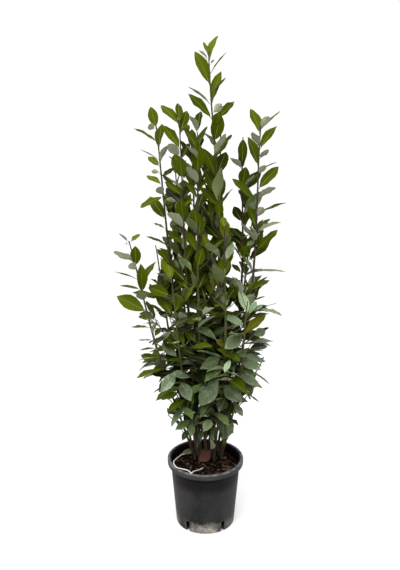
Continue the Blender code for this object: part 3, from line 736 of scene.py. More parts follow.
def end_fans(rows, sides, first, last):
    """The triangles from a pole to a grid's first ring, and from its last ring to another pole."""
    k = np.arange(sides)
    n = (k + 1) % sides
    top = (rows - 1) * sides
    return np.concatenate((
        np.stack((np.full(sides, first), k, n), axis=1),
        np.stack((np.full(sides, last), top + n, top + k), axis=1),
    ))


def lattice_noise(points, scale, seed):
    """Smooth noise from -1 to 1: random values on a cubic lattice, joined by the curve 3t^2 - 2t^3."""
    placed = points * scale
    cell = np.floor(placed).astype(np.int64)
    t = placed - cell
    t = t * t * (3.0 - 2.0 * t)
    total = np.zeros(len(points))
    for corner in np.ndindex(2, 2, 2):
        x, y, z = (cell + corner).T
        mixed = x * 73856093 ^ y * 19349663 ^ z * 83492791 ^ seed * 668265263
        mixed = ((mixed ^ (mixed >> 13)) * 1274126177) & 0x7FFFFFFF
        mixed = ((mixed ^ (mixed >> 16)) * 2246822519) & 0x7FFFFFFF
        share = np.where(corner, t, 1.0 - t).prod(axis=1)
        total += share * (mixed / 0x3FFFFFFF - 1.0)
    return total


def tube(path, radii, sides, reference):
    """A tube's points, quads and end triangles.

    Each ring is centre + radius * (cos a * side + sin a * up), where side is square to the path and to a
    reference direction, and up is square to both. radii is one radius a ring, or one a point of each ring.
    """
    path = np.asarray(path, float)
    heading = np.gradient(path, axis=0)
    heading /= np.linalg.norm(heading, axis=1, keepdims=True)
    side = np.cross(heading, np.asarray(reference, float))
    side /= np.linalg.norm(side, axis=1, keepdims=True)
    up = np.cross(side, heading)
    angle = np.arange(sides) * math.tau / sides
    radii = np.broadcast_to(np.asarray(radii, float).reshape(len(path), -1), (len(path), sides))
    spokes = np.cos(angle)[None, :, None] * side[:, None] + np.sin(angle)[None, :, None] * up[:, None]
    rings = path[:, None] + radii[:, :, None] * spokes
    points = np.concatenate((rings.reshape(-1, 3), path[:1], path[-1:]))
    ends = end_fans(len(path), sides, len(points) - 2, len(points) - 1)
    return points, grid_quads(len(path), sides), ends[:, ::-1]


def joined(parts):
    """Many (points, quads, triangles) as one."""
    points, quads, triangles = [], [], []
    start = 0
    for p, q, t in parts:
        points.append(p)
        quads.append(np.asarray(q, int).reshape(-1, 4) + start)
        triangles.append(np.asarray(t, int).reshape(-1, 3) + start)
        start += len(p)
    return np.concatenate(points), np.concatenate(quads), np.concatenate(triangles)


def rounded(profile, radii, steps=4):
    """A profile whose corners are replaced by quadratic curves that start a radius before each corner."""
    run = [np.array(profile[0])]
    for before, corner, after, radius in zip(profile, profile[1:], profile[2:], radii[1:]):
        before, corner, after = (np.array(p) for p in (before, corner, after))
        if radius == 0.0:
            run.append(corner)
            continue
        start = corner + (before - corner) / np.linalg.norm(before - corner) * radius
        end = corner + (after - corner) / np.linalg.norm(after - corner) * radius
        t = np.linspace(0.0, 1.0, steps + 1)[:, None]
        run += list((1 - t) ** 2 * start + 2 * t * (1 - t) * corner + t ** 2 * end)
    run.append(np.array(profile[-1]))
    return np.array(run)


def revolved(profile, sides):
    """A closed body of revolution: (radius, height) points turned round the axis, the first and last on it."""
    ring = profile[1:-1]
    angle = np.arange(sides) * math.tau / sides
    x = ring[:, :1] * np.cos(angle)
    y = ring[:, :1] * np.sin(angle)
    z = np.repeat(ring[:, 1:], sides, axis=1)
    points = np.stack((x, y, z), axis=-1).reshape(-1, 3)
    points = np.concatenate((points, [(0.0, 0.0, profile[0, 1])], [(0.0, 0.0, profile[-1, 1])]))
    ends = end_fans(len(ring), sides, len(points) - 2, len(points) - 1)
    return points, grid_quads(len(ring), sides)[:, ::-1], ends


def wall_radius(height):
    """The pot's outer radius at a height."""
    return POT_FOOT_RADIUS + (POT_NECK_RADIUS - POT_FOOT_RADIUS) * height / (POT_HEIGHT - LIP_HEIGHT)


def stem_point(stem, share):
    """A point of the stem's line: straight from foot to tip, plus a bow that is widest in the middle."""
    bow = abs(math.sin(math.pi * share)) ** STEM_BOW_SHARPNESS
    x = stem.foot[0] + (stem.tip[0] - stem.foot[0]) * share + stem.bow[0] * bow
    y = stem.foot[1] + (stem.tip[1] - stem.foot[1]) * share + stem.bow[1] * bow
    ground = SOIL_LEVEL + SEAT
    return np.array((x, y, ground + (stem.height - ground) * share))


def stem_radius(stem, share):
    """The stem thins evenly from its foot, and a short stem starts thinner."""
    foot = STEM_FOOT_RADIUS * (SHORT_STEM_SHARE + (1.0 - SHORT_STEM_SHARE) * stem.height / STEMS[0].height)
    return STEM_TIP_RADIUS + (foot - STEM_TIP_RADIUS) * (1.0 - share) ** STEM_TAPER


def curve_mesh(points, radii, profile=None):
    """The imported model's tube through the points, as a mesh with its loose caps welded on."""
    data = bpy.data.curves.new("tube", "CURVE")
    data.dimensions = "3D"
    data.use_fill_caps = True
    data.twist_mode = "Z_UP"
    if profile:
        data.bevel_mode = "OBJECT"
        data.bevel_object = profile
    else:
        data.bevel_depth = 1.0
        data.bevel_resolution = LIMB_ROUNDNESS
    line = data.splines.new("POLY")
    line.points.add(len(points) - 1)
    for slot, place, radius in zip(line.points, points, radii):
        slot.co = (*place, 1.0)
        slot.radius = radius
    obj = bpy.data.objects.new("tube", data)
    bpy.context.scene.collection.objects.link(obj)
    graph = bpy.context.evaluated_depsgraph_get()
    graph.update()
    mesh = bpy.data.meshes.new_from_object(obj.evaluated_get(graph))
    bpy.data.objects.remove(obj)
    shape = bmesh.new()
    shape.from_mesh(mesh)
    bmesh.ops.remove_doubles(shape, verts=shape.verts, dist=1e-6)
    shape.to_mesh(mesh)
    shape.free()
    points = np.array([v.co for v in mesh.vertices])
    faces = [tuple(p.vertices) for p in mesh.polygons]
    bpy.data.meshes.remove(mesh)
    return points, faces


def triangle_profile():
    """The three-sided section of a twig, one metre in radius."""
    data = bpy.data.curves.new("three_sides", "CURVE")
    line = data.splines.new("POLY")
    line.points.add(2)
    line.use_cyclic_u = True
    for i, slot in enumerate(line.points):
        turn = -math.tau * i / 3
        slot.co = (math.cos(turn), math.sin(turn), 0.0, 1.0)
    obj = bpy.data.objects.new("three_sides", data)
    bpy.context.scene.collection.objects.link(obj)
    return obj


def limb_mesh(stem):
    """The bare lower stem with its root flare, upright at first so that its foot is cut level."""
    shares = np.linspace(0.0, stem.bare, LIMB_POINTS)
    points = [stem_point(stem, share) for share in shares]
    radii = [stem_radius(stem, share) for share in shares]
    points.insert(1, points[0] + np.array((0.0, 0.0, FLARE_HEIGHT)))
    radii.insert(1, radii[0])
    radii[0] *= ROOT_FLARE
    return curve_mesh(points, radii)


def direction(azimuth, rise):
    """The unit vector at an azimuth from +X and a rise above level, both in degrees."""
    turn, lift = math.radians(azimuth), math.radians(rise)
    return np.array((math.cos(turn) * math.cos(lift), math.sin(turn) * math.cos(lift), math.sin(lift)))


def leaf_primitive():
    """A ring of outline points from root to tip, with a pole above and one below, as points and faces."""
    shape = bmesh.new()
    bmesh.ops.create_uvsphere(shape, u_segments=LEAF_OUTLINE, v_segments=2, radius=1.0)
    points = np.array([(v.co.y, -v.co.x, v.co.z) for v in shape.verts])
    faces = [tuple(v.index for v in f.verts) for f in shape.faces]
    shape.free()
    points[:, 1] /= np.abs(points[:, 1]).max()
    return points, faces


class Leaf(NamedTuple):
    """A leaf's root, its azimuth, rise and roll about its rib in degrees, its size, and how young it is."""

    root: np.ndarray
    azimuth: float
    rise: float
    roll: float
    length: float
    half_width: float
    young: float
    tone: str = ""


def leaf_axes(leaf):
    """The unit vectors along a leaf, across it and out of its upper side."""
    axis = direction(leaf.azimuth, leaf.rise)
    upper = direction(leaf.azimuth + 180.0, 90.0 - leaf.rise)
    side = np.cross(upper, axis)
    lean = math.radians(leaf.roll)
    cos, sin = math.cos(lean), math.sin(lean)
    return axis, side * cos + upper * sin, upper * cos - side * sin


def leaf_points(leaf, primitive, start=0.0, grow=0.0):
    """The primitive's points drawn out to a blade along the leaf's axis, with its fold and its arch."""
    axis, side, upper = leaf_axes(leaf)
    along = start + (primitive[:, 0] + 1.0) / 2.0 * (leaf.length - start)
    across = primitive[:, 1] * (leaf.half_width + grow)
    fold = np.abs(primitive[:, 1]) * leaf.length * LEAF_FOLD_SHARE
    arch = -leaf.length * LEAF_ARCH_SHARE * (along / leaf.length) ** 2
    height = primitive[:, 2] * (leaf.length * LEAF_THICKNESS_SHARE / 2.0 + grow) + fold + arch
    return leaf.root + np.outer(along, axis) + np.outer(across, side) + np.outer(height, upper)


class Twig(NamedTuple):
    """A leafy twig: its line, its radius, how far up it the leaves begin, their spacing, size and seed."""

    name: str
    line: np.ndarray
    radius: float
    first: float
    spacing: float
    seed: int
    share: float = 1.0


class Obstacles:
    """What is already grown: a search tree, a box and an owner for each limb, twig and leaf."""

    def __init__(self):
        self.trees = []
        self.owners = []
        self.boxes = np.empty((0, 6))

    def add(self, points, faces, owner):
        """Keeps one more grown thing under its owner's name."""
        self.trees.append(BVHTree.FromPolygons([tuple(p) for p in points], faces))
        self.owners.append(owner)
        self.boxes = np.vstack((self.boxes, np.concatenate((points.min(axis=0), points.max(axis=0)))))

    def touched(self, points, faces):
        """The owners of everything that the shape's surface cuts through."""
        low, high = points.min(axis=0), points.max(axis=0)
        near = ((self.boxes[:, :3] <= high) & (self.boxes[:, 3:] >= low)).all(axis=1)
        tree = BVHTree.FromPolygons([tuple(p) for p in points], faces)
        return {self.owners[i] for i in np.flatnonzero(near) if tree.overlap(self.trees[i])}


def inside_crown(points):
    """Whether a shape stays within the crown's reach and above the pot."""
    reach = np.interp(points[:, 2], *CROWN_RADIUS_AT)
    return points[:, 2].min() > LOWEST_LEAF and (np.hypot(points[:, 0], points[:, 1]) < reach).all()


def line_at(line, distance):
    """The point at a distance along a line of points."""
    along = np.concatenate(([0.0], np.cumsum(np.linalg.norm(np.diff(line, axis=0), axis=1))))
    return np.array([np.interp(distance, along, line[:, k]) for k in range(3)])


def line_length(line):
    """The sum of a line's steps."""
    return float(np.linalg.norm(np.diff(line, axis=0), axis=1).sum())


def leaf_places(twig):
    """The distances of the leaves up a twig, closer together where they are young."""
    total = line_length(twig.line)
    places = []
    distance = twig.first
    while distance < total:
        places.append(distance)
        young = max(0.0, 1.0 - (total - distance) / YOUNG_STRETCH)
        distance += twig.spacing * (1.0 - YOUNG_CLOSER * young)
    return places + [total]


def drawn_leaf(twig, index, distance, attempt):
    """One draw of the leaf at a distance up its twig, a golden turn on from the one below it."""
    rng = random.Random(twig.seed * SEED_STEP + index * LEAF_STEP + attempt)
    place = line_at(twig.line, distance)
    young = max(0.0, 1.0 - (line_length(twig.line) - distance) / YOUNG_STRETCH)
    length = np.interp(place[2], *LEAF_LENGTH_AT) * rng.uniform(*LENGTH_RANGE) * (1.0 - YOUNG_SHORTER * young)
    length *= twig.share
    half_width = length * np.interp(place[2], *LEAF_WIDTH_SHARE_AT) * rng.uniform(*WIDTH_RANGE) / 2.0
    half_width *= np.interp(place[2], *BROADER_AT)
    azimuth = twig.seed * SEED_TURN + DIVERGENCE * index + rng.uniform(-AZIMUTH_STRAY, AZIMUTH_STRAY)
    rise = np.interp(place[2], *LEAF_RISE_AT)
    rise += (np.interp(place[2], *YOUNG_RISE_AT) - rise) * young + rng.uniform(-RISE_STRAY, RISE_STRAY)
    roll = rng.uniform(-ROLL_STRAY, ROLL_STRAY)
    root = place - direction(azimuth, rise) * twig.radius * ROOT_SINK
    return Leaf(root, azimuth, rise, roll, length, half_width, young)


def fits(leaf, twig, primitive, obstacles):
    """Whether the leaf stays in the crown, clear of other masses and, past its stalk, of its own."""
    points, faces = primitive
    whole = leaf_points(leaf, points, 0.0, LEAF_CLEARANCE)
    blade = leaf_points(leaf, points, PETIOLE, LEAF_CLEARANCE)
    return inside_crown(whole) and not (
        obstacles.touched(blade, faces) or obstacles.touched(whole, faces) - {twig.name}
    )


def squeezes_in(leaf, primitive, obstacles):
    """Whether the leaf stays in the crown and only its edges brush past others, as on the finer twigs."""
    points, faces = primitive
    core = leaf_points(leaf, points, leaf.length * OVERLAP_FROM, -leaf.half_width * OVERLAP_SHARE)
    return inside_crown(leaf_points(leaf, points)) and not obstacles.touched(core, faces)


class Seen(NamedTuple):
    """A leaf in the photograph, in pixels from its upper left: root, tip, width, then tone and depth."""

    root_across: float
    root_down: float
    tip_across: float
    tip_down: float
    width: float
    tone: str
    depth: float = 0.0


class Opening(NamedTuple):
    """A round gap in the crown, in the photograph's pixels."""

    across: float
    down: float
    radius: float


def sight_depth(point):
    """How far a point lies in front of the camera."""
    down = math.radians(CAMERA_DOWN)
    return (point[1] - CAMERA_PLACE[1]) * math.cos(down) - (point[2] - CAMERA_PLACE[2]) * math.sin(down)


def pixel_of(point):
    """The pixel at which the photograph shows a point: focal length times offset over depth."""
    x, y, z = [p - c for p, c in zip(point, CAMERA_PLACE)]
    down = math.radians(CAMERA_DOWN)
    depth = y * math.cos(down) - z * math.sin(down)
    up = y * math.sin(down) + z * math.cos(down)
    return PHOTO_MIDDLE[0] + PHOTO_FOCAL * x / depth, PHOTO_MIDDLE[1] - PHOTO_FOCAL * up / depth


def place_of(across, down, y):
    """The point that a pixel shows on the upright plane at y, found along the pixel's line of sight."""
    tilt = math.radians(CAMERA_DOWN)
    right, below = (across - PHOTO_MIDDLE[0]) / PHOTO_FOCAL, (down - PHOTO_MIDDLE[1]) / PHOTO_FOCAL
    reach = (y - CAMERA_PLACE[1]) / (math.cos(tilt) - below * math.sin(tilt))
    rise = -math.sin(tilt) - below * math.cos(tilt)
    return np.array((CAMERA_PLACE[0] + reach * right, y, CAMERA_PLACE[2] + reach * rise))


def lean_of(seen, root, flat, up, usual_length):
    """How far back a leaf's tip is from its root: what its picture lacks of the usual length.

    A rising leaf leans back where it shows its upper side and forwards where it shows its underside, and a
    hanging one the other way round.
    """
    away = math.sqrt(max(usual_length ** 2 - flat ** 2, (LEAST_LEAN * flat) ** 2))
    away = min(away, MOST_LEAN[0] * flat + MOST_LEAN[1])
    if seen.width < EDGE_ON_WIDTH:
        away = EDGE_ON_LEAN * flat
    underside = seen.tone.startswith("under")
    if underside == (up > HANGING * flat):
        return max(-away, CROWN_FRONT - root[1])
    return min(away, max(0.0, CROWN_REAR - root[1]))


def leaf_in_space(seen, root, usual_length, lean=None):
    """A leaf of the photograph as one in space, to whole millimetres and degrees, as finely as it can be read.

    Its roll is the one at which the camera would see the share of its width that the picture shows.
    """
    scale = sight_depth(root) / PHOTO_FOCAL
    flat = math.hypot(seen.tip_across - seen.root_across, seen.tip_down - seen.root_down) * scale
    up = (seen.root_down - seen.tip_down) * scale
    if lean is None:
        lean = lean_of(seen, root, flat, up, usual_length)
    run = place_of(seen.tip_across, seen.tip_down, root[1] + lean) - root
    length = float(np.linalg.norm(run))
    azimuth = math.degrees(math.atan2(run[1], run[0]))
    rise = math.degrees(math.atan2(run[2], math.hypot(run[0], run[1])))
    edge_on = seen.width < EDGE_ON_WIDTH
    blur = HIGH_BLUR if seen.root_down < BLUR_ROW else LOW_BLUR
    half_seen = seen.width * scale / 2 * (blur if seen.width > EDGE_ON_WIDTH else 1.0)
    sight = np.array(CAMERA_PLACE) - root
    sight /= np.linalg.norm(sight)
    rolls = np.arange(*ROLLS)
    axes = [leaf_axes(Leaf(root, azimuth, rise, roll, length, 0.0, 0.0)) for roll in rolls]
    shown = np.array([upper @ sight for _, _, upper in axes])
    shown /= math.sqrt(max(LEAST_BREADTH, 1.0 - (axes[0][0] @ sight) ** 2))
    if seen.tone.startswith("under"):
        shown = -shown
    wanted = EDGE_ON_SHOWN if edge_on else min(1.0, half_seen / (HALF_WIDTH_SHARE * length))
    best = int(np.argmin(np.abs(shown - wanted) + ROLL_COST * np.abs(rolls)))
    half_width = half_seen / max(EDGE_ON_SHOWN, shown[best])
    if wanted < 1.0 and not edge_on and abs(shown[best] - wanted) < ROLL_MATCH:
        half_width = HALF_WIDTH_SHARE * length
    half_width = min(half_width, MOST_HALF_WIDTH_SHARE * length)
    return Leaf(
        np.array([round(float(v) * 1000) for v in root]) / 1000.0, round(azimuth), round(rise),
        round(float(rolls[best])), round(length * 1000) / 1000.0, round(float(half_width) * 1000, 1) / 1000.0,
        0.0, seen.tone,
    )


def stem_leaves(stem):
    """A stem's leaves in the photograph, from its tip down, each at the height where its root is seen."""
    shares = np.linspace(*SIGHTED_SHARES)
    line = np.array([stem_point(stem, share) for share in shares])
    pixels = np.array([pixel_of(point) for point in line])
    found = []
    for row in STEM_LEAVES.get(stem.name, ()):
        seen = Seen(*row)
        k = int(np.argmin(np.abs(pixels[:, 1] - seen.root_down)))
        root, lean = line[k], None
        broad = seen.width >= CLOSE_WIDTH and not seen.tone.startswith("under")
        upright = abs(seen.tip_across - seen.root_across) <= CLOSE_ACROSS
        upright = upright and seen.root_down - seen.tip_down > CLOSE_HEIGHT
        if broad and upright and seen.root_down > CLOSE_BELOW_ROW:
            radius = stem_radius(stem, shares[k]) + CLOSE_GAP
            beside = int(np.argmin(np.abs(pixels[:, 1] - seen.tip_down)))
            root = place_of(*pixels[k], line[k][1] - radius)
            lean = float(np.clip(line[beside][1] - radius - root[1], *CLOSE_LEAN))
        found.append((root[2], leaf_in_space(seen, root, STEM_LEAF_LENGTH, lean)))
    found.sort(key=lambda pair: -pair[0])
    return [leaf for _, leaf in found]


def front_leaves():
    """The leaves on the front of the low crown, each rooted at its guessed depth."""
    rows = [Seen(*row) for row in FRONT_LEAVES]
    roots = [place_of(seen.root_across, seen.root_down, seen.depth) for seen in rows]
    return [leaf_in_space(seen, root, FRONT_LEAF_LENGTH) for seen, root in zip(rows, roots)]


def opening_spots():
    """Each opening's place across and up on the upright plane through the pot, and its radius, in metres."""
    spots = []
    for opening in (Opening(*row) for row in OPENINGS):
        place = place_of(opening.across, opening.down, 0.0)
        spots.append([round(v) for v in (place[0] * 1000, place[2] * 1000, opening.radius * PIXEL_SIZE)])
    return np.array(spots) / 1000.0


def on_plane(points):
    """Points carried along their sight lines onto the upright plane through the pot's middle."""
    camera = np.array(CAMERA_PLACE)
    sight = points - camera
    return (camera - sight * (camera[1] / sight[:, 1])[:, None])[:, (0, 2)]


class Outlook:
    """What grown leaves may not stand before: the measured leaves and the openings, as spots on the plane."""

    def __init__(self, leaves):
        points = np.concatenate([rib_points(leaf) for leaf in leaves] + [side_points(leaf) for leaf in leaves])
        self.openings = opening_spots()
        self.spots = np.concatenate((on_plane(points), self.openings[:, :2]))
        self.away = np.concatenate((points[:, 1], np.full(len(self.openings), ANYWHERE)))
        self.reach = np.concatenate((np.full(len(points), HIDING_REACH), self.openings[:, 2] + OPENING_MARGIN))

    def blocked(self, leaf):
        """Whether the leaf hides a part of a measured leaf or closes an opening."""
        points = rib_points(leaf)
        gap = np.linalg.norm(on_plane(points)[:, None] - self.spots[None], axis=2)
        return bool(((gap < self.reach) & (points[:, 1][:, None] < self.away)).any())

    def crossed(self, line):
        """Whether a twig's line passes before or behind an opening."""
        run = np.linspace(0.0, line_length(line), LINE_MARKS)
        spots = on_plane(np.array([line_at(line, distance) for distance in run]))
        gap = np.linalg.norm(spots[:, None] - self.openings[None, :, :2], axis=2)
        return bool((gap < self.openings[:, 2]).any())


def rib_points(leaf):
    """A few points along the leaf's rib."""
    along = np.array(RIB_MARKS)[:, None] * leaf.length
    return leaf.root + along * direction(leaf.azimuth, leaf.rise)


def side_points(leaf):
    """Points on both sides of a broad leaf's rib."""
    if leaf.half_width < BROAD_LEAF:
        return np.empty((0, 3))
    points = leaf.root + np.array(SIDE_MARKS)[:, None] * leaf.length * direction(leaf.azimuth, leaf.rise)
    across = leaf_axes(leaf)[1] * leaf.half_width * SIDE_MARK_OUT
    return np.concatenate((points - across, points + across))


def bearing_twig(leaf, number):
    """The stem that stands nearest below a measured leaf's root, and a short twig from it to the leaf."""
    best = None
    for stem in STEMS:
        for share in np.linspace(*BEARING_SHARES):
            place = stem_point(stem, share)
            reach = leaf.root - place
            across = math.hypot(reach[0], reach[1])
            miss = abs(reach[2] - BEARING_SLOPE * across) + across
            if best is None or miss < best[0]:
                best = (miss, stem, place)
    miss, stem, place = best
    reach = leaf.root - place
    run = np.linspace(0.0, 1.0, SHOOT_STEPS + 1)[:, None]
    sag = np.array((0.0, 0.0, BEARING_SAG * np.linalg.norm(reach)))
    line = place + reach * run - sag * np.sin(math.pi * run)
    return stem, Twig(f"front_{stem.name}_{number}", line, SPRAY_RADIUS, 0.0, 1.0, 0)


def grow_leaves(twig, primitive, obstacles, outlook, fine=False, top=ANYWHERE):
    """The twig's leaves up to a height, and how far up it the last one is.

    A leaf that leaves the crown, meets anything or hides a measured leaf is drawn again, then skipped.
    """
    points, faces = primitive
    grown = []
    last = 0.0
    for index, distance in enumerate(leaf_places(twig)):
        if line_at(twig.line, distance)[2] > top:
            continue
        for attempt in range(LEAF_TRIES):
            leaf = drawn_leaf(twig, index, distance, attempt)
            if outlook.blocked(leaf):
                continue
            if squeezes_in(leaf, primitive, obstacles) if fine else fits(leaf, twig, primitive, obstacles):
                obstacles.add(leaf_points(leaf, points, 0.0, LEAF_CLEARANCE), faces, twig.name)
                grown.append(leaf)
                last = distance
                break
    return grown, last


def shortened(twig, last):
    """The twig cut off just past its last leaf."""
    run = np.linspace(0.0, min(last + PAST_LAST_LEAF, line_length(twig.line)), len(twig.line))
    return twig._replace(line=np.array([line_at(twig.line, distance) for distance in run]))


def top_twig(stem, leaves):
    """The leafy part of a stem, from its limb to its highest measured leaf if it has any, with its radii."""
    length = (stem.height - SOIL_LEVEL) * (1.0 - stem.bare)
    cut = max(0.0, stem.height - max(leaf.root[2] for leaf in leaves)) if leaves else TIP_CUT
    shares = np.linspace(stem.bare, 1.0 - cut / (stem.height - SOIL_LEVEL), round(length / TWIG_STEP) + 1)
    line = np.array([stem_point(stem, share) for share in shares])
    start = line[1] - line[0]
    line[0] += start / np.linalg.norm(start) * SEAT
    radii = [stem_radius(stem, share) * TWIG_FATNESS for share in shares]
    twig = Twig(f"foliage_{stem.name}", line, radii[len(radii) // 2], FIRST_LEAF, LEAF_SPACING, stem.seed)
    return twig, radii


def rising_line(start, azimuth, rises, length):
    """A side shoot's line: it leaves its bearer at the first rise and curves up to the second."""
    low, high = rises
    line = [start]
    for i in range(SHOOT_STEPS):
        rise = low + (high - low) * i / (SHOOT_STEPS - 1)
        line.append(line[-1] + direction(azimuth, rise) * length / SHOOT_STEPS)
    return np.array(line)


def seated(line, radius, limb_tree):
    """The shoot's line moved along its first heading until its flat foot is a seat's gap from the limb."""
    heading = (line[1] - line[0]) / np.linalg.norm(line[1] - line[0])
    side = np.cross(heading, (0.0, 0.0, 1.0))
    side /= np.linalg.norm(side)
    up = np.cross(side, heading)
    turns = np.linspace(0.0, math.tau, SEATING_POINTS)
    for _ in range(SEATING_ROUNDS):
        rim = [line[0] + (side * math.cos(a) + up * math.sin(a)) * radius for a in turns]
        nearest = min(limb_tree.find_nearest(tuple(p))[3] for p in rim)
        line = line - heading * (nearest - SEAT)
    return line


def shoots_of(stem, limb_tree, profile, obstacles):
    """The side shoots of one limb, at even heights, fanned to both sides of the way that the stem leans."""
    rng = random.Random(stem.name)
    low = (SHOOT_LOWEST - SOIL_LEVEL) / (stem.height - SOIL_LEVEL)
    top = stem.bare - SHOOT_BELOW_TOP
    outward = math.degrees(math.atan2(stem.tip[1] - stem.foot[1], stem.tip[0] - stem.foot[0]))
    made = []
    for i in range(stem.shoots):
        share = low + (top - low) * (i + 0.5) / stem.shoots
        for attempt in range(SHOOT_TRIES):
            fan = SHOOT_FAN * (1 if i % 2 else -1) * (SHOOT_FAN_FIRST + SHOOT_FAN_STEP * attempt)
            azimuth = outward + fan + rng.uniform(-SHOOT_STRAY, SHOOT_STRAY)
            out = stem_radius(stem, share) + SEAT
            start = stem_point(stem, share) + direction(azimuth, SHOOT_RISE[0]) * out
            line = rising_line(start, azimuth, SHOOT_RISE, rng.uniform(*SHOOT_LENGTHS))
            line = seated(line, SHOOT_RADIUS, limb_tree)
            radii = np.linspace(SHOOT_RADIUS, STEM_TIP_RADIUS, len(line))
            name = f"foliage_{stem.name}_{i + 1}"
            points, faces = curve_mesh(line, radii, profile)
            if not obstacles.touched(points, faces) and inside_crown(points):
                obstacles.add(points, faces, name)
                seed = stem.seed * SHOOT_SEEDS + i
                made.append(Twig(name, line, SHOOT_RADIUS, SHOOT_FIRST_LEAF, SHOOT_LEAF_SPACING, seed))
                break
    return made


def fine_twig(name, line, radii, profile, obstacles, outlook, seed, share):
    """A finer twig on a line, or None where it touches another, leaves the crown or crosses an opening."""
    points, faces = curve_mesh(line[1:], radii[1:], profile)
    if obstacles.touched(points, faces) or not inside_crown(points) or outlook.crossed(line):
        return None
    obstacles.add(points, faces, name)
    return Twig(name, line, SPRAY_RADIUS, SPRAY_FIRST_LEAF, SPRAY_LEAF_SPACING, seed, share)


def low_shoots(stem, profile, obstacles, outlook):
    """More short shoots from the bare limb, a golden turn apart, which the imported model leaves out."""
    rng = random.Random("low " + stem.name)
    made = []
    for i in range(LOW_SHOOTS):
        height = rng.uniform(*LOW_SHOOT_HEIGHTS)
        if height > LOW_SHOOTS_BELOW.get(stem.name, ANYWHERE):
            continue
        share = (height - SOIL_LEVEL) / (stem.height - SOIL_LEVEL)
        for attempt in range(SHOOT_TRIES):
            azimuth = stem.seed * SEED_TURN + DIVERGENCE * i + attempt * SHOOT_STRAY
            azimuth += rng.uniform(-SHOOT_STRAY, SHOOT_STRAY)
            out = direction(azimuth, SHOOT_RISE[0]) * stem_radius(stem, share)
            start = stem_point(stem, share) + out * FOOT_SINK
            line = rising_line(start, azimuth, SHOOT_RISE, rng.uniform(*LOW_SHOOT_LENGTHS))
            radii = np.linspace(SPRAY_RADIUS * FOOT_FATNESS, SPRAY_RADIUS, len(line))
            seed = stem.seed * LOW_SHOOT_SEEDS + i
            twig = fine_twig(
                f"low_{stem.name}_{i}", line, radii, profile, obstacles, outlook, seed, LOW_SHOOT_LEAF_SHARE
            )
            if twig:
                made.append(twig)
                break
    return made


def axil_sprays(stem, twig, profile, obstacles, outlook):
    """Short sprays in the axils of a stem's leafy part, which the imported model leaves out."""
    rng = random.Random("spray " + stem.name)
    made = []
    for i, distance in enumerate(leaf_places(twig)):
        place = line_at(twig.line, distance)
        highest = min(SPRAY_HEIGHTS[1], stem.height - SPRAY_BELOW_TOP, MEASURED_ABOVE.get(stem.name, ANYWHERE))
        if not SPRAY_HEIGHTS[0] < place[2] < highest:
            continue
        for attempt in range(SHOOT_TRIES):
            azimuth = stem.seed * SEED_TURN + DIVERGENCE * i + rng.uniform(-180.0, 180.0)
            line = rising_line(place, azimuth, SPRAY_RISE, rng.uniform(*SPRAY_LENGTHS))
            radii = np.linspace(SPRAY_RADIUS, SPRAY_RADIUS * SPRAY_TIP_SHARE, len(line))
            seed = stem.seed * SPRAY_SEEDS + i
            spray = fine_twig(
                f"spray_{stem.name}_{i}", line, radii, profile, obstacles, outlook, seed, SPRAY_LEAF_SHARE
            )
            if spray:
                made.append(spray)
                break
    return made


class Plant:
    """The whole plant, grown once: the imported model's twigs and leaves first, then the finer ones."""

    grown = None

    @classmethod
    def get(cls):
        """The plant, grown at the first call."""
        if cls.grown is None:
            cls.grown = cls()
        return cls.grown

    def __init__(self):
        """Limbs, stem tops and shoots first, then the measured leaves, the rule's leaves and finer twigs."""
        primitive = leaf_primitive()
        obstacles = Obstacles()
        profile = triangle_profile()
        trees = {}
        tops = {}
        self.leaves = {}
        self.twigs = {}
        for stem in STEMS:
            obstacles.add(*limb_mesh(stem), f"stem_{stem.name}")
            trees[stem.name] = obstacles.trees[-1]
        for stem in STEMS:
            self.leaves[stem.name] = stem_leaves(stem)
            twig, radii = top_twig(stem, self.leaves[stem.name])
            obstacles.add(*curve_mesh(twig.line, radii, profile), twig.name)
            tops[stem.name] = twig
        for stem in STEMS:
            self.twigs[stem.name] = shoots_of(stem, trees[stem.name], profile, obstacles)
        front = front_leaves()
        on_stems = [leaf for own in self.leaves.values() for leaf in own]
        outlook = Outlook(on_stems + [leaf for leaf in front if leaf.root[1] < 0.0])
        fronts = {stem.name: [] for stem in STEMS}
        for number, leaf in enumerate(front):
            stem, twig = bearing_twig(leaf, number)
            fronts[stem.name].append(twig)
            self.leaves[stem.name].append(leaf)
        for stem in STEMS:
            for leaf in self.leaves[stem.name]:
                obstacles.add(leaf_points(leaf, primitive[0]), primitive[1], tops[stem.name].name)
        for stem in STEMS:
            own = self.leaves[stem.name]
            top = MEASURED_ABOVE.get(stem.name, ANYWHERE)
            own += grow_leaves(tops[stem.name], primitive, obstacles, outlook, top=top)[0]
            shoots = []
            for twig in self.twigs[stem.name]:
                grown, last = grow_leaves(twig, primitive, obstacles, outlook)
                own += grown
                if grown:
                    shoots.append(shortened(twig, last))
            self.twigs[stem.name] = shoots
        for stem in STEMS:
            finer = low_shoots(stem, profile, obstacles, outlook)
            finer += axil_sprays(stem, tops[stem.name], profile, obstacles, outlook)
            for twig in finer:
                own, last = grow_leaves(twig, primitive, obstacles, outlook, fine=True)
                if len(own) >= FEWEST_LEAVES:
                    self.twigs[stem.name].append(shortened(twig, last))
                    self.leaves[stem.name] += own
            self.twigs[stem.name] += fronts[stem.name]
        bpy.data.objects.remove(profile)
        self.tops = tops


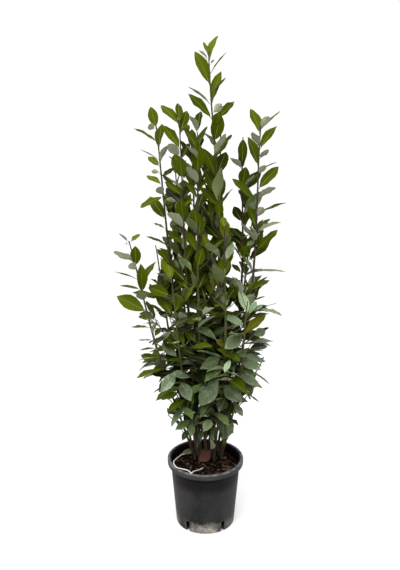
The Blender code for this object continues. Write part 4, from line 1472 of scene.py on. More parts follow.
# Leaf tones, each a finish: its setting, the shares of that colour's red, green and blue, roughness, gloss
LEAF_TONES = {
    "young": ("upper", (1.24, 1.14, 1.30), 0.50, 0.02),
    "bright": ("upper", (1.24, 1.20, 1.50), 0.48, 0.01),
    "olive": ("upper", (0.80, 0.80, 0.70), 0.48, 0.01),
    "green": ("upper", (0.74, 0.80, 0.80), 0.48, 0.01),
    "deep": ("upper", (0.33, 0.37, 0.38), 0.48, 0.02),
    "amber": ("upper", (1.50, 1.20, 1.00), 0.50, 0.05),
    "low_green": ("low", (0.86, 0.98, 0.62), 0.34, 0.35),
    "low_grey": ("low", (1.02, 1.12, 1.06), 0.34, 0.38),
    "low_slate": ("low", (0.49, 0.56, 0.41), 0.34, 0.32),
    "low_dark": ("low", (0.25, 0.28, 0.13), 0.34, 0.33),
    # painted shade: the shade tone makes near-black leaves set where there is only shade
    "shade": ("low", (0.105, 0.12, 0.045), 0.40, 0.20),
    # painted sheen: pale and low_pale are light grey green, partly the leaves' own colour and partly painted
    # sheen
    "pale": ("low", (2.80, 2.90, 3.40), 0.50, 0.12),
    "low_pale": ("low", (1.85, 1.85, 2.10), 0.40, 0.38),
    "under_olive": ("under", (0.48, 0.51, 0.20), 0.60, 0.06),
    "under_green": ("under", (0.76, 0.82, 0.62), 0.60, 0.08),
    "under_grey": ("under", (1.68, 1.64, 1.98), 0.60, 0.10),
    "under_pale": ("under", (1.92, 1.90, 2.05), 0.62, 0.10),
    "under_white": ("under", (2.15, 2.05, 2.50), 0.62, 0.10),
}


# Leaves glossier than this are low ones, with pale dusting and painted sheen, and a painted highlight at their
# margins
DUST_AND_SHEEN_GLOSS = 0.25


def leaf_finish(name, colour, roughness, gloss):
    """A leathery blade: cloudy lights and darks, pale side veins, a fine grain, and an uneven waxy gloss.

    The veins are thin crests of a wave in 9 u - 1.3 |s|, so they slant from the rib towards the tip. The
    glossy finishes of the low leaves are also mottled with pale patches, partly dusting and partly painted
    sheen, and have a painted highlight along their margins.
    """
    finish = Finish(name, colour, roughness, Specular_IOR_Level=gloss)
    blade = finish.node("ShaderNodeAttribute", {"attribute_name": "blade"}, {}, "Vector")
    along, out, own = [finish.node("ShaderNodeSeparateXYZ", {}, {"Vector": blade}, name) for name in "XYZ"]
    slant = (along * 9.0 - out * 1.3) * math.tau
    crest = finish.node("ShaderNodeMath", {"operation": "SINE"}, {0: slant}, "Value")
    veins = finish.ramp(crest, 0.72, 0.98) * finish.ramp(out * -1.0, -0.98, -0.55)
    clouds = finish.noise(34.0, 3.0)
    grain = finish.noise(420.0, 2.0)
    lit = finish.ramp(clouds * 0.45 + grain * 0.15 + own * 0.40, 0.25, 0.75)
    tone = finish.shaded(lit, colour, (0.72, 0.76, 0.70), (1.30, 1.24, 1.26))
    vein_share = 0.30
    if gloss > DUST_AND_SHEEN_GLOSS:
        # painted sheen: pale patches on the low leaves, partly real dusting and partly painted sheen
        dust_and_sheen = finish.patches(0.50, 0.68, 75.0, 4.0, shift=(2.0, 5.0, 1.0))
        # painted highlight: the low leaves paler towards their margins
        margin = finish.ramp(out, 0.80, 1.0)
        tone = finish.blend(dust_and_sheen * 0.62 + margin * 0.30, tone, tinted(colour, 2.7, 2.6, 3.0))
        vein_share = 0.45
    finish.feed("Base Color", finish.blend(veins * vein_share, tone, tinted(colour, 1.50, 1.45, 1.60)))
    finish.feed("Roughness", roughness - 0.09 + 0.18 * finish.noise(90.0, 2.0, shift=(3.0, 1.0, 2.0)))
    finish.bump(grain * 0.35 + clouds * 0.5 + veins * 0.15, 0.40, 0.0006)
    return finish.material


def rib_finish(name, colour):
    """The midribs and stalks: plain and slightly waxy, with a faint change along them."""
    finish = Finish(name, colour, 0.5)
    finish.feed("Base Color", finish.shaded(finish.noise(60.0), colour, (0.85, 0.85, 0.85), (1.15, 1.12, 1.1)))
    finish.bump(finish.noise(500.0), 0.2, 0.0003)
    return finish.material


# The blade's stations from stalk to tip, and its columns round from margin to margin and back below
STATIONS = (0.10, 0.25, 0.43, 0.62, 0.79, 0.92)
COLUMNS = (-1.0, -0.56, -0.001, 0.001, 0.56, 1.0, 0.56, 0.0, -0.56)
TOP_COLUMNS = 6
STALK_SIDES = 3
UPPER, RIB, UNDER, STALK = range(4)


def leaf_template():
    """One leaf's faces and what each shows, over the points that leaf_shape makes.

    Points: the base, the tip, a ring of columns at each station, then the stalk's two rings and its end.
    The quads above and below start at the corners that split both sides along the same diagonal.
    """
    ring = len(COLUMNS)
    rows = len(STATIONS)
    quads, quad_parts, triangles, triangle_parts = [], [], [], []
    parts = (UPPER, UPPER, RIB, UPPER, UPPER, UNDER, UNDER, UNDER, UNDER)
    last = 2 + (rows - 1) * ring
    for c in range(ring):
        d = (c + 1) % ring
        triangles += [(0, 2 + d, 2 + c), (1, last + c, last + d)]
        triangle_parts += [parts[c]] * 2
        for r in range(rows - 1):
            a = 2 + r * ring
            quad = (a + c, a + d, a + ring + d, a + ring + c)
            quads.append(quad if c < TOP_COLUMNS - 1 else quad[1:] + quad[:1])
            quad_parts.append(parts[c])
    stalk = 2 + rows * ring
    end = stalk + 2 * STALK_SIDES
    for k in range(STALK_SIDES):
        n = (k + 1) % STALK_SIDES
        quads.append((stalk + k, stalk + n, stalk + STALK_SIDES + n, stalk + STALK_SIDES + k))
        quad_parts.append(STALK)
        triangles.append((end, stalk + STALK_SIDES + k, stalk + STALK_SIDES + n))
        triangle_parts.append(STALK)
    triangles.append((stalk + 2, stalk + 1, stalk))
    triangle_parts.append(STALK)
    margin = np.zeros(end + 1, int)
    margin[:2] = 3
    margin[2:stalk:ring] = 1
    margin[2 + TOP_COLUMNS - 1:stalk:ring] = 2
    return np.array(quads), np.array(quad_parts), np.array(triangles), np.array(triangle_parts), margin


def leaf_shape(leaves, seed, thickness, wave):
    """Every leaf's points at once, as an array of leaves by points by three.

    u runs along the blade and s across it. Half the width is W sin(pi u^c)^(b + t u): both ends are pointed,
    the more so the larger b and t are, which grow from high up to low down, and the blade is broadest past its
    middle where c is over 1. The upper side lies at fold |s| - arch along^2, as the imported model's, plus waves
    |s|^2 sin(2 pi k u + phase) along each margin, a swell between rib and margin, a droop of the tip, a twist
    about the rib and a sideways bend. The underside follows it, a thickness lower that fades to the margins.
    Leaves with a tone are those of the tables, and bend less.
    """
    rng = np.random.default_rng(seed)
    count = len(leaves)
    axes = np.array([leaf_axes(leaf) for leaf in leaves])
    axis, side, upper = (axes[:, k][:, None, None] for k in range(3))
    root = np.array([leaf.root for leaf in leaves])[:, None, None]
    length = np.array([leaf.length for leaf in leaves])[:, None, None]
    width = np.array([leaf.half_width for leaf in leaves])[:, None, None]

    def drawn(low, high):
        """One number for each leaf."""
        return rng.uniform(low, high, (count, 1, 1))

    waves, phase, lag = drawn(1.4, 2.9), drawn(0.0, math.tau), drawn(0.6, 2.8)
    fold, droop, swell = drawn(0.1, 1.8), drawn(-0.03, 0.09), drawn(-0.02, 0.09)
    twist, sickle = np.radians(drawn(-38.0, 38.0)), drawn(-0.06, 0.06)
    straight = np.array([bool(leaf.tone) for leaf in leaves])[:, None, None]
    twist = np.where(straight, twist * 0.4, twist)
    droop = np.where(straight, droop * 0.3, droop)
    wave = wave * drawn(0.4, 1.5) * np.where(straight, 0.7, 1.0)
    blunt = np.interp(root[..., 2], (0.5, 1.1), (0.88, 0.68)) + drawn(-0.10, 0.10)
    taper = np.interp(root[..., 2], (0.5, 1.1), (0.30, 0.15))
    broadest = np.interp(root[..., 2], (0.5, 1.1), (0.96, 1.06)) + drawn(-0.06, 0.10)
    stalk = PETIOLE * 0.9
    reach = np.minimum(length, 5.0 * width)

    def surface(u, s, layer):
        """Points at u and s of the layer, which is 1 for the upper side and -1 for the underside."""
        outline = np.sin(np.pi * u ** broadest) ** (blunt + taper * u)
        rib = np.abs(s) < 0.01
        half = np.where(rib, np.sign(s) * (0.0009 - 0.0006 * u), s * width * outline)
        out = np.where(rib, 0.0, np.abs(s))
        along = stalk + u * (length - stalk)
        arch = LEAF_ARCH_SHARE * ((along / length) ** 2 - straight * along / length)
        height = reach * LEAF_FOLD_SHARE * fold * out * outline - length * arch
        height += width * swell * np.sin(np.pi * out) * outline - length * droop * u ** 3
        beat = np.sin(math.tau * waves * u + phase + np.where(s > 0, lag, 0.0))
        height += wave * reach * out ** 2 * outline ** 0.5 * beat
        height += thickness * 0.5 * layer * (1.0 - out)
        turn = twist * (u - 0.25)
        across = half * np.cos(turn) - height * np.sin(turn) + length * sickle * (u ** 2 - straight * u)
        lifted = height * np.cos(turn) + half * np.sin(turn)
        return root + along[..., None] * axis + across[..., None] * side + lifted[..., None] * upper

    layer = np.where(np.arange(len(COLUMNS)) < TOP_COLUMNS, 1.0, -1.0)[None, None]
    ends = surface(np.array((1e-9, 1.0 - 1e-9))[None, :, None], np.zeros((1, 1, 1)), 0.0)
    blade = surface(np.array(STATIONS)[None, :, None], np.array(COLUMNS)[None, None], layer)
    turn = np.arange(STALK_SIDES) * math.tau / STALK_SIDES
    places = np.array((0.0, 1.0, 3.0))[None, :, None] * PETIOLE
    sunk = -length * LEAF_ARCH_SHARE * (places / length) ** 2 - 0.0005
    thick = np.array((0.0011, 0.0009, 0.0))[None, :, None] * np.clip(length / 0.09, 0.6, 1.2)
    across = np.cos(turn) * thick
    lifted = np.sin(turn) * thick + sunk
    stalks = root + places[..., None] * axis + across[..., None] * side + lifted[..., None] * upper
    stalks = stalks.reshape(count, -1, 3)[:, :2 * STALK_SIDES + 1]
    return np.concatenate((ends.reshape(count, 2, 3), blade.reshape(count, -1, 3), stalks), axis=1)


def leaves_object(name, leaves, tones, seed, settings, finishes):
    """One piece of many leaves. tones gives each leaf's upper, rib, underside and stalk finish by number.

    Each point carries its place on the blade: how far along, how far from the rib, and a number drawn per leaf.
    """
    quads, quad_parts, triangles, triangle_parts, margin = leaf_template()
    shape = leaf_shape(leaves, seed, settings.thickness, settings.wave)
    count, each = shape.shape[:2]
    start = (np.arange(count) * each)[:, None, None]
    obj = new_mesh(name, shape.reshape(-1, 3), quads[None] + start, triangles[None] + start)
    tones = np.asarray(tones)
    slots = np.concatenate((tones[:, quad_parts].ravel(), tones[:, triangle_parts].ravel()))
    mesh = obj.data
    for finish in finishes:
        mesh.materials.append(finish)
    mesh.polygons.foreach_set("material_index", slots)
    rng = np.random.default_rng(seed + 900)
    blade = np.zeros((count, each, 3))
    ring = 2 + len(STATIONS) * len(COLUMNS)
    blade[:, 1, 0] = 1.0
    blade[:, 2:ring, 0] = np.repeat(STATIONS, len(COLUMNS))
    blade[:, 2:ring, 1] = np.abs(np.tile(COLUMNS, len(STATIONS)))
    blade[:, :, 2] = rng.uniform(0.0, 1.0, (count, 1))
    mesh.attributes.new("blade", "FLOAT_VECTOR", "POINT").data.foreach_set("vector", blade.ravel())
    edges = np.empty(len(mesh.edges) * 2, int)
    mesh.edges.foreach_get("vertices", edges)
    flags = np.tile(margin, count)[edges.reshape(-1, 2)]
    sharp = mesh.attributes.new("sharp_edge", "BOOLEAN", "EDGE")
    sharp.data.foreach_set("value", (flags[:, 0] & flags[:, 1]) > 0)
    mesh.update()
    return obj


# Tones dealt out at random, each as often as it is listed
HIGH_UNDERSIDES = ("under_olive", "under_olive", "under_olive", "under_green", "under_grey", "under_pale")
LOW_UNDERSIDES = ("under_green", "under_grey", "under_grey", "under_olive")
PALE_TONES = ("pale", "low_grey", "pale", "bright")
TINTED_TONES = ("amber", "young", "bright")
YOUNG_TONES = ("young", "bright", "young", "olive")
# Painted shade: dark tones for leaves inside the low crown
INNER_SHADE_TONES = ("shade", "shade", "low_dark", "deep")
LOW_TONES = ("low_green", "low_grey", "low_green", "low_dark", "low_grey", "low_dark", "low_pale", "green")
HIGH_TONES = ("olive", "olive", "green", "olive", "bright", "deep")
MIDDLE_TONES = ("olive", "olive", "green", "green", "bright", "deep", "low_green")

# Where they are dealt out: heights in metres, shares of the leaves, and how far below a stem's tip
BRIGHT_ABOVE = 1.38
HIGH_FROM = 1.1
YOUNG_FROM = 0.7
YOUNG_SHARE = 0.55
INNER_BELOW = 0.9
CROWN_MIDDLE = 0.03
HIGH_UNDERSIDES_FROM = 0.75
PALE_RIBS_FROM = 0.8
PALE_RIBS_SHARE = 0.75
LOW_SHARE_AT = ((0.45, 0.80), (1.0, 0.0))
INNER_SHARE_AT = ((0.25, 0.60), (0.8, 0.0))
AMBER_SHARE = 0.02
PALE_SHOOT = "right_low"
PALE_REACH = 0.20
TINTED_SHOOT = "fore_left"
TINTED_REACH = 0.10


def tone_of(stem, leaf, rng):
    """The finish of a leaf's upper side: young leaves are light, high ones olive and low ones grey green."""
    height = leaf.root[2]
    if leaf.tone in LEAF_TONES and not leaf.tone.startswith("under"):
        return "bright" if leaf.tone == "olive" and height > BRIGHT_ABOVE else leaf.tone
    if stem.name == PALE_SHOOT and height > stem.height - PALE_REACH:
        return rng.choice(PALE_TONES)
    if stem.name == TINTED_SHOOT and height > stem.height - TINTED_REACH:
        return rng.choice(TINTED_TONES)
    if leaf.young > YOUNG_SHARE and height > YOUNG_FROM:
        return rng.choice(YOUNG_TONES)
    inner = np.hypot(leaf.root[0], leaf.root[1] - CROWN_MIDDLE) / np.interp(height, *CROWN_RADIUS_AT)
    # painted shade: many leaves inside the low crown get dark tones
    if height < INNER_BELOW and rng.random() < np.interp(inner, *INNER_SHARE_AT):
        return rng.choice(INNER_SHADE_TONES)
    if rng.random() < np.interp(height, *LOW_SHARE_AT):
        return rng.choice(LOW_TONES)
    if rng.random() < AMBER_SHARE:
        return "amber"
    return rng.choice(HIGH_TONES if height > HIGH_FROM else MIDDLE_TONES)


def smooth_run(points, step):
    """A smooth line through the points, as a Catmull-Rom curve read at about even steps."""
    p = np.array(points)
    padded = np.vstack((2 * p[0] - p[1], p, 2 * p[-1] - p[-2]))
    run = []
    for i in range(len(p) - 1):
        a, b, c, d = padded[i:i + 4]
        count = max(2, round(np.linalg.norm(c - b) / step))
        bend = 2 * a - 5 * b + 4 * c - d
        twist = 3 * b - a - 3 * c + d
        for t in np.arange(count) / count:
            run.append((2 * b + (c - a) * t + bend * t ** 2 + twist * t ** 3) / 2)
    run.append(p[-1])
    return run


def scattered(centres, sizes, turns, seed, roughness):
    """Many small lumps at once: 12-point balls drawn out by their sizes, dented, and turned in their places."""
    golden = (1.0 + math.sqrt(5.0)) / 2.0
    ball = np.array([(a, b * golden, 0.0) for a in (-1, 1) for b in (-1, 1)], float)
    ball = np.concatenate((ball, ball[:, (1, 2, 0)], ball[:, (2, 0, 1)])) / math.hypot(1.0, golden)
    shape = bmesh.new()
    for p in ball:
        shape.verts.new(p)
    bmesh.ops.convex_hull(shape, input=shape.verts)
    bmesh.ops.recalc_face_normals(shape, faces=shape.faces)
    shape.verts.index_update()
    faces = np.array([[v.index for v in f.verts] for f in shape.faces])
    shape.free()
    rng = np.random.default_rng(seed)
    dents = 1.0 + rng.uniform(-roughness, roughness, (len(centres), len(ball), 1))
    points = ball[None] * dents * sizes[:, None]
    cos, sin = np.cos(turns), np.sin(turns)
    for first, second, k in ((1, 2, 0), (0, 2, 1), (0, 1, 2)):
        a, b = points[..., first].copy(), points[..., second].copy()
        points[..., first] = a * cos[:, k, None] - b * sin[:, k, None]
        points[..., second] = a * sin[:, k, None] + b * cos[:, k, None]
    points += centres[:, None]
    start = (np.arange(len(centres)) * len(ball))[:, None, None]
    return points.reshape(-1, 3), np.empty((0, 4), int), (faces[None] + start).reshape(-1, 3)


def soil_height(x, y, lumps):
    """The soil's surface: three sizes of lumps added up, and a dip towards the pot's wall."""
    flat = np.stack((x, y, np.zeros_like(x)), axis=-1)
    bumps = lattice_noise(flat, 60.0, 1) + 0.7 * lattice_noise(flat, 150.0, 2)
    bumps = bumps + 0.45 * lattice_noise(flat, 340.0, 3)
    radius = np.hypot(x, y)
    dip = np.clip((radius - 0.085) / 0.03, 0.0, 1.0) ** 2 * 0.005
    return SOIL_LEVEL - 0.0010 + bumps * lumps * 0.5 - dip


class BAYLAUREL_OT_stage(bpy.types.Operator):
    """Lays the pale floor and sets the soft light and the camera"""

    bl_idname = "baylaurel.stage"
    bl_label = "Stage, light and camera"

    def execute(self, context):
        settings = context.scene.bay_laurel.stage
        edge = settings.radius
        profile = np.array([(0.0, 0.0), (edge - 0.01, 0.0), (edge, -0.004), (edge, -0.02), (0.0, -0.02)])
        points, quads, triangles = revolved(profile, 128)
        floor = new_mesh("floor", points, quads[:, ::-1], triangles[:, ::-1], smooth=False)
        plain = Finish("pale floor", settings.floor, 0.9)
        plain.feed("Roughness", 0.85 + 0.1 * plain.noise(3.0))
        floor.data.materials.append(plain.material)
        self.light(context, settings)
        data = bpy.data.cameras.new("photo camera")
        data.lens = CAMERA_LENS
        data.clip_start, data.clip_end = 0.05, 200.0
        camera = bpy.data.objects.new("photo camera", data)
        camera.location = CAMERA_PLACE
        camera.rotation_euler = (math.radians(90.0 - CAMERA_DOWN), 0.0, 0.0)
        context.scene.collection.objects.link(camera)
        context.scene.camera = camera
        return {"FINISHED"}

    def light(self, context, settings):
        """A sky that is brighter overhead, seen as plain white, and one large lamp at the upper left."""
        world = bpy.data.worlds.new("soft white")
        world.use_nodes = True
        context.scene.world = world
        context.scene.view_settings.view_transform = "Standard"
        nodes = Nodes(world.node_tree)
        ground = world.node_tree.nodes["Background"]
        heading = nodes.node("ShaderNodeTexCoord", {}, {}, "Generated")
        height = nodes.node("ShaderNodeSeparateXYZ", {}, {"Vector": heading}, "Z")
        glow = settings.horizon * nodes.ramp(height, -0.2, 0.0)
        glow = glow + (settings.zenith - settings.horizon) * nodes.ramp(height, 0.0, 0.9)
        seen = nodes.node("ShaderNodeLightPath", {}, {}, "Is Camera Ray")
        strength = glow * (1.0 - seen) + seen * 1.05
        world.node_tree.links.new(strength.socket, ground.inputs["Strength"])
        ground.inputs["Color"].default_value = (1.0, 1.0, 1.0, 1.0)
        lamp = bpy.data.lights.new("key lamp", "AREA")
        lamp.shape = "RECTANGLE"
        lamp.size, lamp.size_y = KEY_SIZE
        lamp.energy = settings.key
        key = bpy.data.objects.new("key lamp", lamp)
        key.location = KEY_PLACE
        aim = Vector(KEY_AIM) - key.location
        key.rotation_euler = aim.to_track_quat("-Z", "Y").to_euler()
        context.scene.collection.objects.link(key)


class BAYLAUREL_OT_pot(bpy.types.Operator):
    """Turns the plastic pot, cuts its drain slots and gives it its scuffs and lime stains"""

    bl_idname = "baylaurel.pot"
    bl_label = "Pot"

    def execute(self, context):
        settings = context.scene.bay_laurel.pot
        neck = POT_HEIGHT - LIP_HEIGHT
        inner_top = wall_radius(POT_HEIGHT) - POT_WALL
        profile = (
            (0.0, POT_FLOOR),
            (wall_radius(POT_FLOOR) - POT_WALL, POT_FLOOR),
            (inner_top - 0.0002, POT_HEIGHT - 0.012),
            (inner_top + 0.0006, POT_HEIGHT),
            (LIP_RADIUS, POT_HEIGHT),
            (LIP_RADIUS - 0.0006, neck),
            (LIP_RADIUS - 0.0030, neck),
            (wall_radius(neck) + 0.0012, neck + 0.0016),
            (wall_radius(neck), neck - 0.004),
            (wall_radius(0.0), 0.0),
            (0.088, 0.0),
            (0.084, 0.0016),
            (0.0, 0.0016),
        )
        radii = (0.0, 0.003, 0.004, 0.0032, 0.0046, 0.0016, 0.0010, 0.0014, 0.002, 0.0040, 0.001, 0.001)
        points, quads, ends = revolved(rounded(profile, radii), settings.facets)
        pot = new_mesh("nursery_pot", points, quads, ends)
        for i in range(SLOT_COUNT):
            self.cut(pot, math.tau * (i + 0.5) / SLOT_COUNT - math.pi / 2)
        pot.data.polygons.foreach_set("use_smooth", np.full(len(pot.data.polygons), True))
        pot.data.set_sharp_from_angle(angle=math.radians(35.0))
        pot.data.materials.clear()
        pot.data.materials.append(self.plastic(settings))
        finished(pot, "pot", "pot")
        return {"FINISHED"}

    def cut(self, pot, turn):
        """Cuts one upright slot through the wall and the floor's edge, by a box turned to face outwards."""
        corners = np.array([(x, y, z) for x in (-1, 1) for y in (-1, 1) for z in (-1, 1)], float)
        corners *= (SLOT_DEPTH, SLOT_WIDTH / 2, SLOT_HEIGHT)
        cos, sin = math.cos(turn), math.sin(turn)
        x = corners[:, 0] * cos - corners[:, 1] * sin + POT_FOOT_RADIUS * cos
        y = corners[:, 0] * sin + corners[:, 1] * cos + POT_FOOT_RADIUS * sin
        faces = ((0, 1, 3, 2), (4, 6, 7, 5), (0, 4, 5, 1), (2, 3, 7, 6), (0, 2, 6, 4), (1, 5, 7, 3))
        box = new_mesh("slot", np.stack((x, y, corners[:, 2]), axis=1), faces, np.empty((0, 3)), smooth=False)
        drain = pot.modifiers.new("drain", "BOOLEAN")
        drain.object = box
        drain.operation = "DIFFERENCE"
        graph = bpy.context.evaluated_depsgraph_get()
        graph.update()
        old = pot.data
        cut = bpy.data.meshes.new_from_object(pot.evaluated_get(graph))
        pot.modifiers.remove(drain)
        pot.data = cut
        bpy.data.meshes.remove(old)
        bpy.data.objects.remove(box)

    def plastic(self, settings):
        """Black plastic, greyed by weather, with lime round the foot, soil film, fine scuffs, and painted light
        and shade.
        """
        finish = Finish("black plastic", settings.colour, 0.5, Specular_IOR_Level=0.05)
        across, depth, height = [finish.axis(name) for name in "XYZ"]
        neck = POT_HEIGHT - LIP_HEIGHT
        film = finish.patches(0.35, 0.70, 16.0, 5.0, (1.0, 1.0, 0.45))
        specks = finish.patches(0.62, 0.74, 150.0, 2.0)
        scuffs = finish.patches(0.66, 0.80, 60.0, 3.0, (1.0, 1.0, 0.12))
        # painted reflection: a brownish tint in patches down the pot's left side
        left = finish.ramp(across * -1.0, 0.045, 0.115) * finish.patches(0.30, 0.65, 9.0, 3.0)
        # painted sheen: the lip is lighter than the wall, and its roughness is lower too
        edge = finish.ramp(height, neck - 0.002, neck + 0.004)
        # painted highlight: a light band in patches along the lip's top edge
        rim = finish.ramp(height, POT_HEIGHT - 0.004, POT_HEIGHT - 0.001)
        rim = rim * finish.patches(0.3, 0.6, 50.0, 3.0)
        # painted shade: the wall darker over 30 mm below the lip
        shade = finish.ramp(height, neck - 0.030, neck) * (1.0 - edge)
        # painted shadow: a near-black band on the wall just under the lip
        gap = finish.ramp(height, neck - 0.0165, neck - 0.0125) * (1.0 - edge)
        # painted shade: darker within 0.1205 m of the axis above 0.15 to 0.18 m, on the inner wall and the upper
        # outer wall
        radial = (across ** 2.0 + depth ** 2.0) ** 0.5
        within = finish.ramp(radial * -1.0, -0.1225, -0.1205) * finish.ramp(height, 0.150, 0.180)
        plain = finish.shaded(film, settings.colour, (0.50, 0.50, 0.52), (1.50, 1.44, 1.44))
        for cover, colour in (
            (specks * 0.15, (0.16, 0.16, 0.16)),
            (scuffs * 0.30, (0.12, 0.12, 0.12)),
            # painted brownish reflection on the left side
            (left * 0.15, (0.085, 0.062, 0.042)),
            # painted sheen on the lip
            (edge * 0.50, (0.048, 0.048, 0.051)),
            # painted highlight along the lip's top edge
            (rim * 0.65, (0.200, 0.194, 0.190)),
            (shade * 0.15, (0.0080, 0.0080, 0.0080)),
            # painted shadow under the lip
            (gap * 0.9, (0.0008, 0.0008, 0.0008)),
            # painted shade inside the pot and over the upper wall
            (within * 0.8, (0.0035, 0.0030, 0.0026)),
        ):
            plain = finish.blend(cover, plain, colour)
        ragged = finish.noise(26.0, 3.0) * 1.2 + finish.noise(110.0, 3.0) * 0.5 - 0.75
        middle = finish.ramp(across, -0.064, -0.034) * finish.ramp(across * -1.0, -0.050, -0.026)
        middle = middle * finish.ramp(depth * -1.0, 0.0, 0.05)
        corner = finish.ramp(across * -1.0, 0.084, 0.096)
        patchy = finish.patches(0.45, 0.65, 11.0, 2.0) * 0.5
        where = middle.math("MAXIMUM", middle, corner * 0.7)
        where = where.math("MAXIMUM", where, patchy)
        reach = finish.ramp(height * -1.0 + ragged * 0.045, -settings.stain_height, -0.006)
        blotch = finish.patches(0.40, 0.58, 75.0, 4.0, shift=(5.0, 0.0, 0.0))
        lime = reach * where * (0.45 + 0.50 * blotch)
        stained = finish.blend(lime, plain, finish.blend(finish.noise(40.0), settings.lime, (0.26, 0.25, 0.24)))
        damp = finish.patches(0.60, 0.66, 220.0, 2.0) * finish.ramp(height * -1.0, -0.02, -0.005)
        finish.feed("Base Color", finish.blend(damp, stained, (0.012, 0.011, 0.010)))
        finish.feed("Roughness", 0.42 + 0.14 * film + 0.30 * lime - 0.10 * edge)
        finish.bump(finish.noise(380.0, 3.0) * 0.6 + lime * 0.4 + scuffs * 0.2, 0.30, 0.0005)
        return finish.material


class BAYLAUREL_OT_soil(bpy.types.Operator):
    """Fills the pot with crumbly soil and scatters bark chips, pale crumbs and fallen leaves on it"""

    bl_idname = "baylaurel.soil"
    bl_label = "Soil"

    def execute(self, context):
        settings = context.scene.bay_laurel.soil
        self.body(settings)
        self.litter(settings)
        self.fallen(context.scene.bay_laurel.leaf)
        return {"FINISHED"}

    def body(self, settings):
        """A plug inside the wall: rings of lumpy surface, then down the wall, stepped in behind the slots."""
        edge = wall_radius(SOIL_LEVEL) - POT_WALL - SOIL_GAP
        radii = np.linspace(0.0, edge, SOIL_RINGS)[1:]
        angle = np.arange(SOIL_SIDES) * math.tau / SOIL_SIDES
        x, y = np.outer(radii, np.cos(angle)), np.outer(radii, np.sin(angle))
        z = soil_height(x.ravel(), y.ravel(), settings.lumps).reshape(x.shape)
        floor = POT_FLOOR + SEAT
        for height, inset in ((SLOT_HEIGHT + 0.014, SEAT), (SLOT_HEIGHT + 0.006, 0.016), (floor, 0.018)):
            around = wall_radius(height) - POT_WALL - inset
            x = np.vstack((x, around * np.cos(angle)))
            y = np.vstack((y, around * np.sin(angle)))
            z = np.vstack((z, np.full(SOIL_SIDES, height)))
        points = np.stack((x, y, z), axis=-1).reshape(-1, 3)
        middle = soil_height(np.zeros(1), np.zeros(1), settings.lumps)[0]
        points = np.concatenate((points, [(0.0, 0.0, middle), (0.0, 0.0, floor)]))
        ends = end_fans(len(x), SOIL_SIDES, len(points) - 2, len(points) - 1)
        obj = new_mesh("potting_soil", points, grid_quads(len(x), SOIL_SIDES)[:, ::-1], ends)
        obj.data.materials.append(self.earth("damp soil", settings.colour))
        finished(obj, "soil", "soil")

    def earth(self, name, colour):
        """Damp peat: dark and light crumbs, with a coarse grain."""
        finish = Finish(name, colour, 0.85, Specular_IOR_Level=0.02)
        crumbs = finish.noise(210.0, 4.0)
        grains = finish.cells(330.0)
        tone = finish.ramp(crumbs * 0.7 + grains * 0.3, 0.28, 0.62)
        brown = finish.shaded(finish.noise(45.0, 2.0), colour, (0.40, 0.36, 0.34), (1.4, 1.15, 1.0))
        finish.feed("Base Color", finish.blend(tone, tinted(colour, 0.25, 0.24, 0.24), brown))
        finish.feed("Roughness", 0.62 + 0.35 * crumbs)
        finish.bump(crumbs * 0.6 + grains * 0.4, 0.9, 0.0022)
        return finish.material

    def litter(self, settings):
        """Bark chips and mineral crumbs, evenly at random over the soil and half sunk in it."""
        rng = np.random.default_rng(LITTER_SEED)
        for name, count, size, finish, flat in (
            ("bark_chips", settings.chips, (0.0020, 0.0090), self.chip_finish(), 0.34),
            ("pale_crumbs", settings.crumbs, (0.0009, 0.0026), self.crumb_finish(), 0.7),
        ):
            radius = np.sqrt(rng.uniform(0.0, 1.0, count)) * LITTER_RADIUS
            angle = rng.uniform(0.0, math.tau, count)
            x, y = radius * np.cos(angle), radius * np.sin(angle)
            long = size[0] + (size[1] - size[0]) * rng.uniform(0.0, 1.0, count) ** 1.6
            sizes = np.stack((long, long * rng.uniform(0.45, 0.85, count), long * flat), axis=1)
            z = soil_height(x, y, settings.lumps) + sizes[:, 2] * 0.25
            turns = rng.uniform(-0.35, 0.35, (count, 3))
            turns[:, 2] = rng.uniform(0.0, math.tau, count)
            centres = np.stack((x, y, z), axis=1)
            points, quads, triangles = scattered(centres, sizes, turns, LUMP_SEED, 0.28)
            obj = new_mesh(name, points, quads, triangles, smooth=False)
            for made in finish:
                obj.data.materials.append(made)
            kind = (rng.uniform(0.0, 1.0, count) ** 1.7 * len(finish)).astype(int)
            slots = np.repeat(kind, len(triangles) // count)
            obj.data.polygons.foreach_set("material_index", slots)
            finished(obj, "soil")

    def chip_finish(self):
        """Four browns of weathered bark."""
        made = []
        for name, colour in (
            ("dark bark chip", (0.014, 0.008, 0.006)),
            ("dark brown bark chip", (0.020, 0.011, 0.008)),
            ("brown bark chip", (0.034, 0.017, 0.012)),
            ("grey bark chip", (0.075, 0.060, 0.050)),
        ):
            finish = Finish(name, colour, 0.8, Specular_IOR_Level=0.04)
            grain = finish.noise(240.0, 3.0, (1.0, 1.0, 3.0))
            finish.feed("Base Color", finish.shaded(grain, colour, (0.6, 0.6, 0.6), (1.5, 1.45, 1.4)))
            finish.bump(grain, 0.6, 0.0008)
            made.append(finish.material)
        return made

    def crumb_finish(self):
        """Pale mineral crumbs, slightly stained."""
        finish = Finish("pale crumb", (0.42, 0.38, 0.30), 0.9)
        stain = finish.noise(300.0, 2.0)
        finish.feed("Base Color", finish.blend(stain, (0.30, 0.24, 0.17), (0.55, 0.52, 0.45)))
        finish.bump(stain, 0.5, 0.0005)
        return [finish.material]

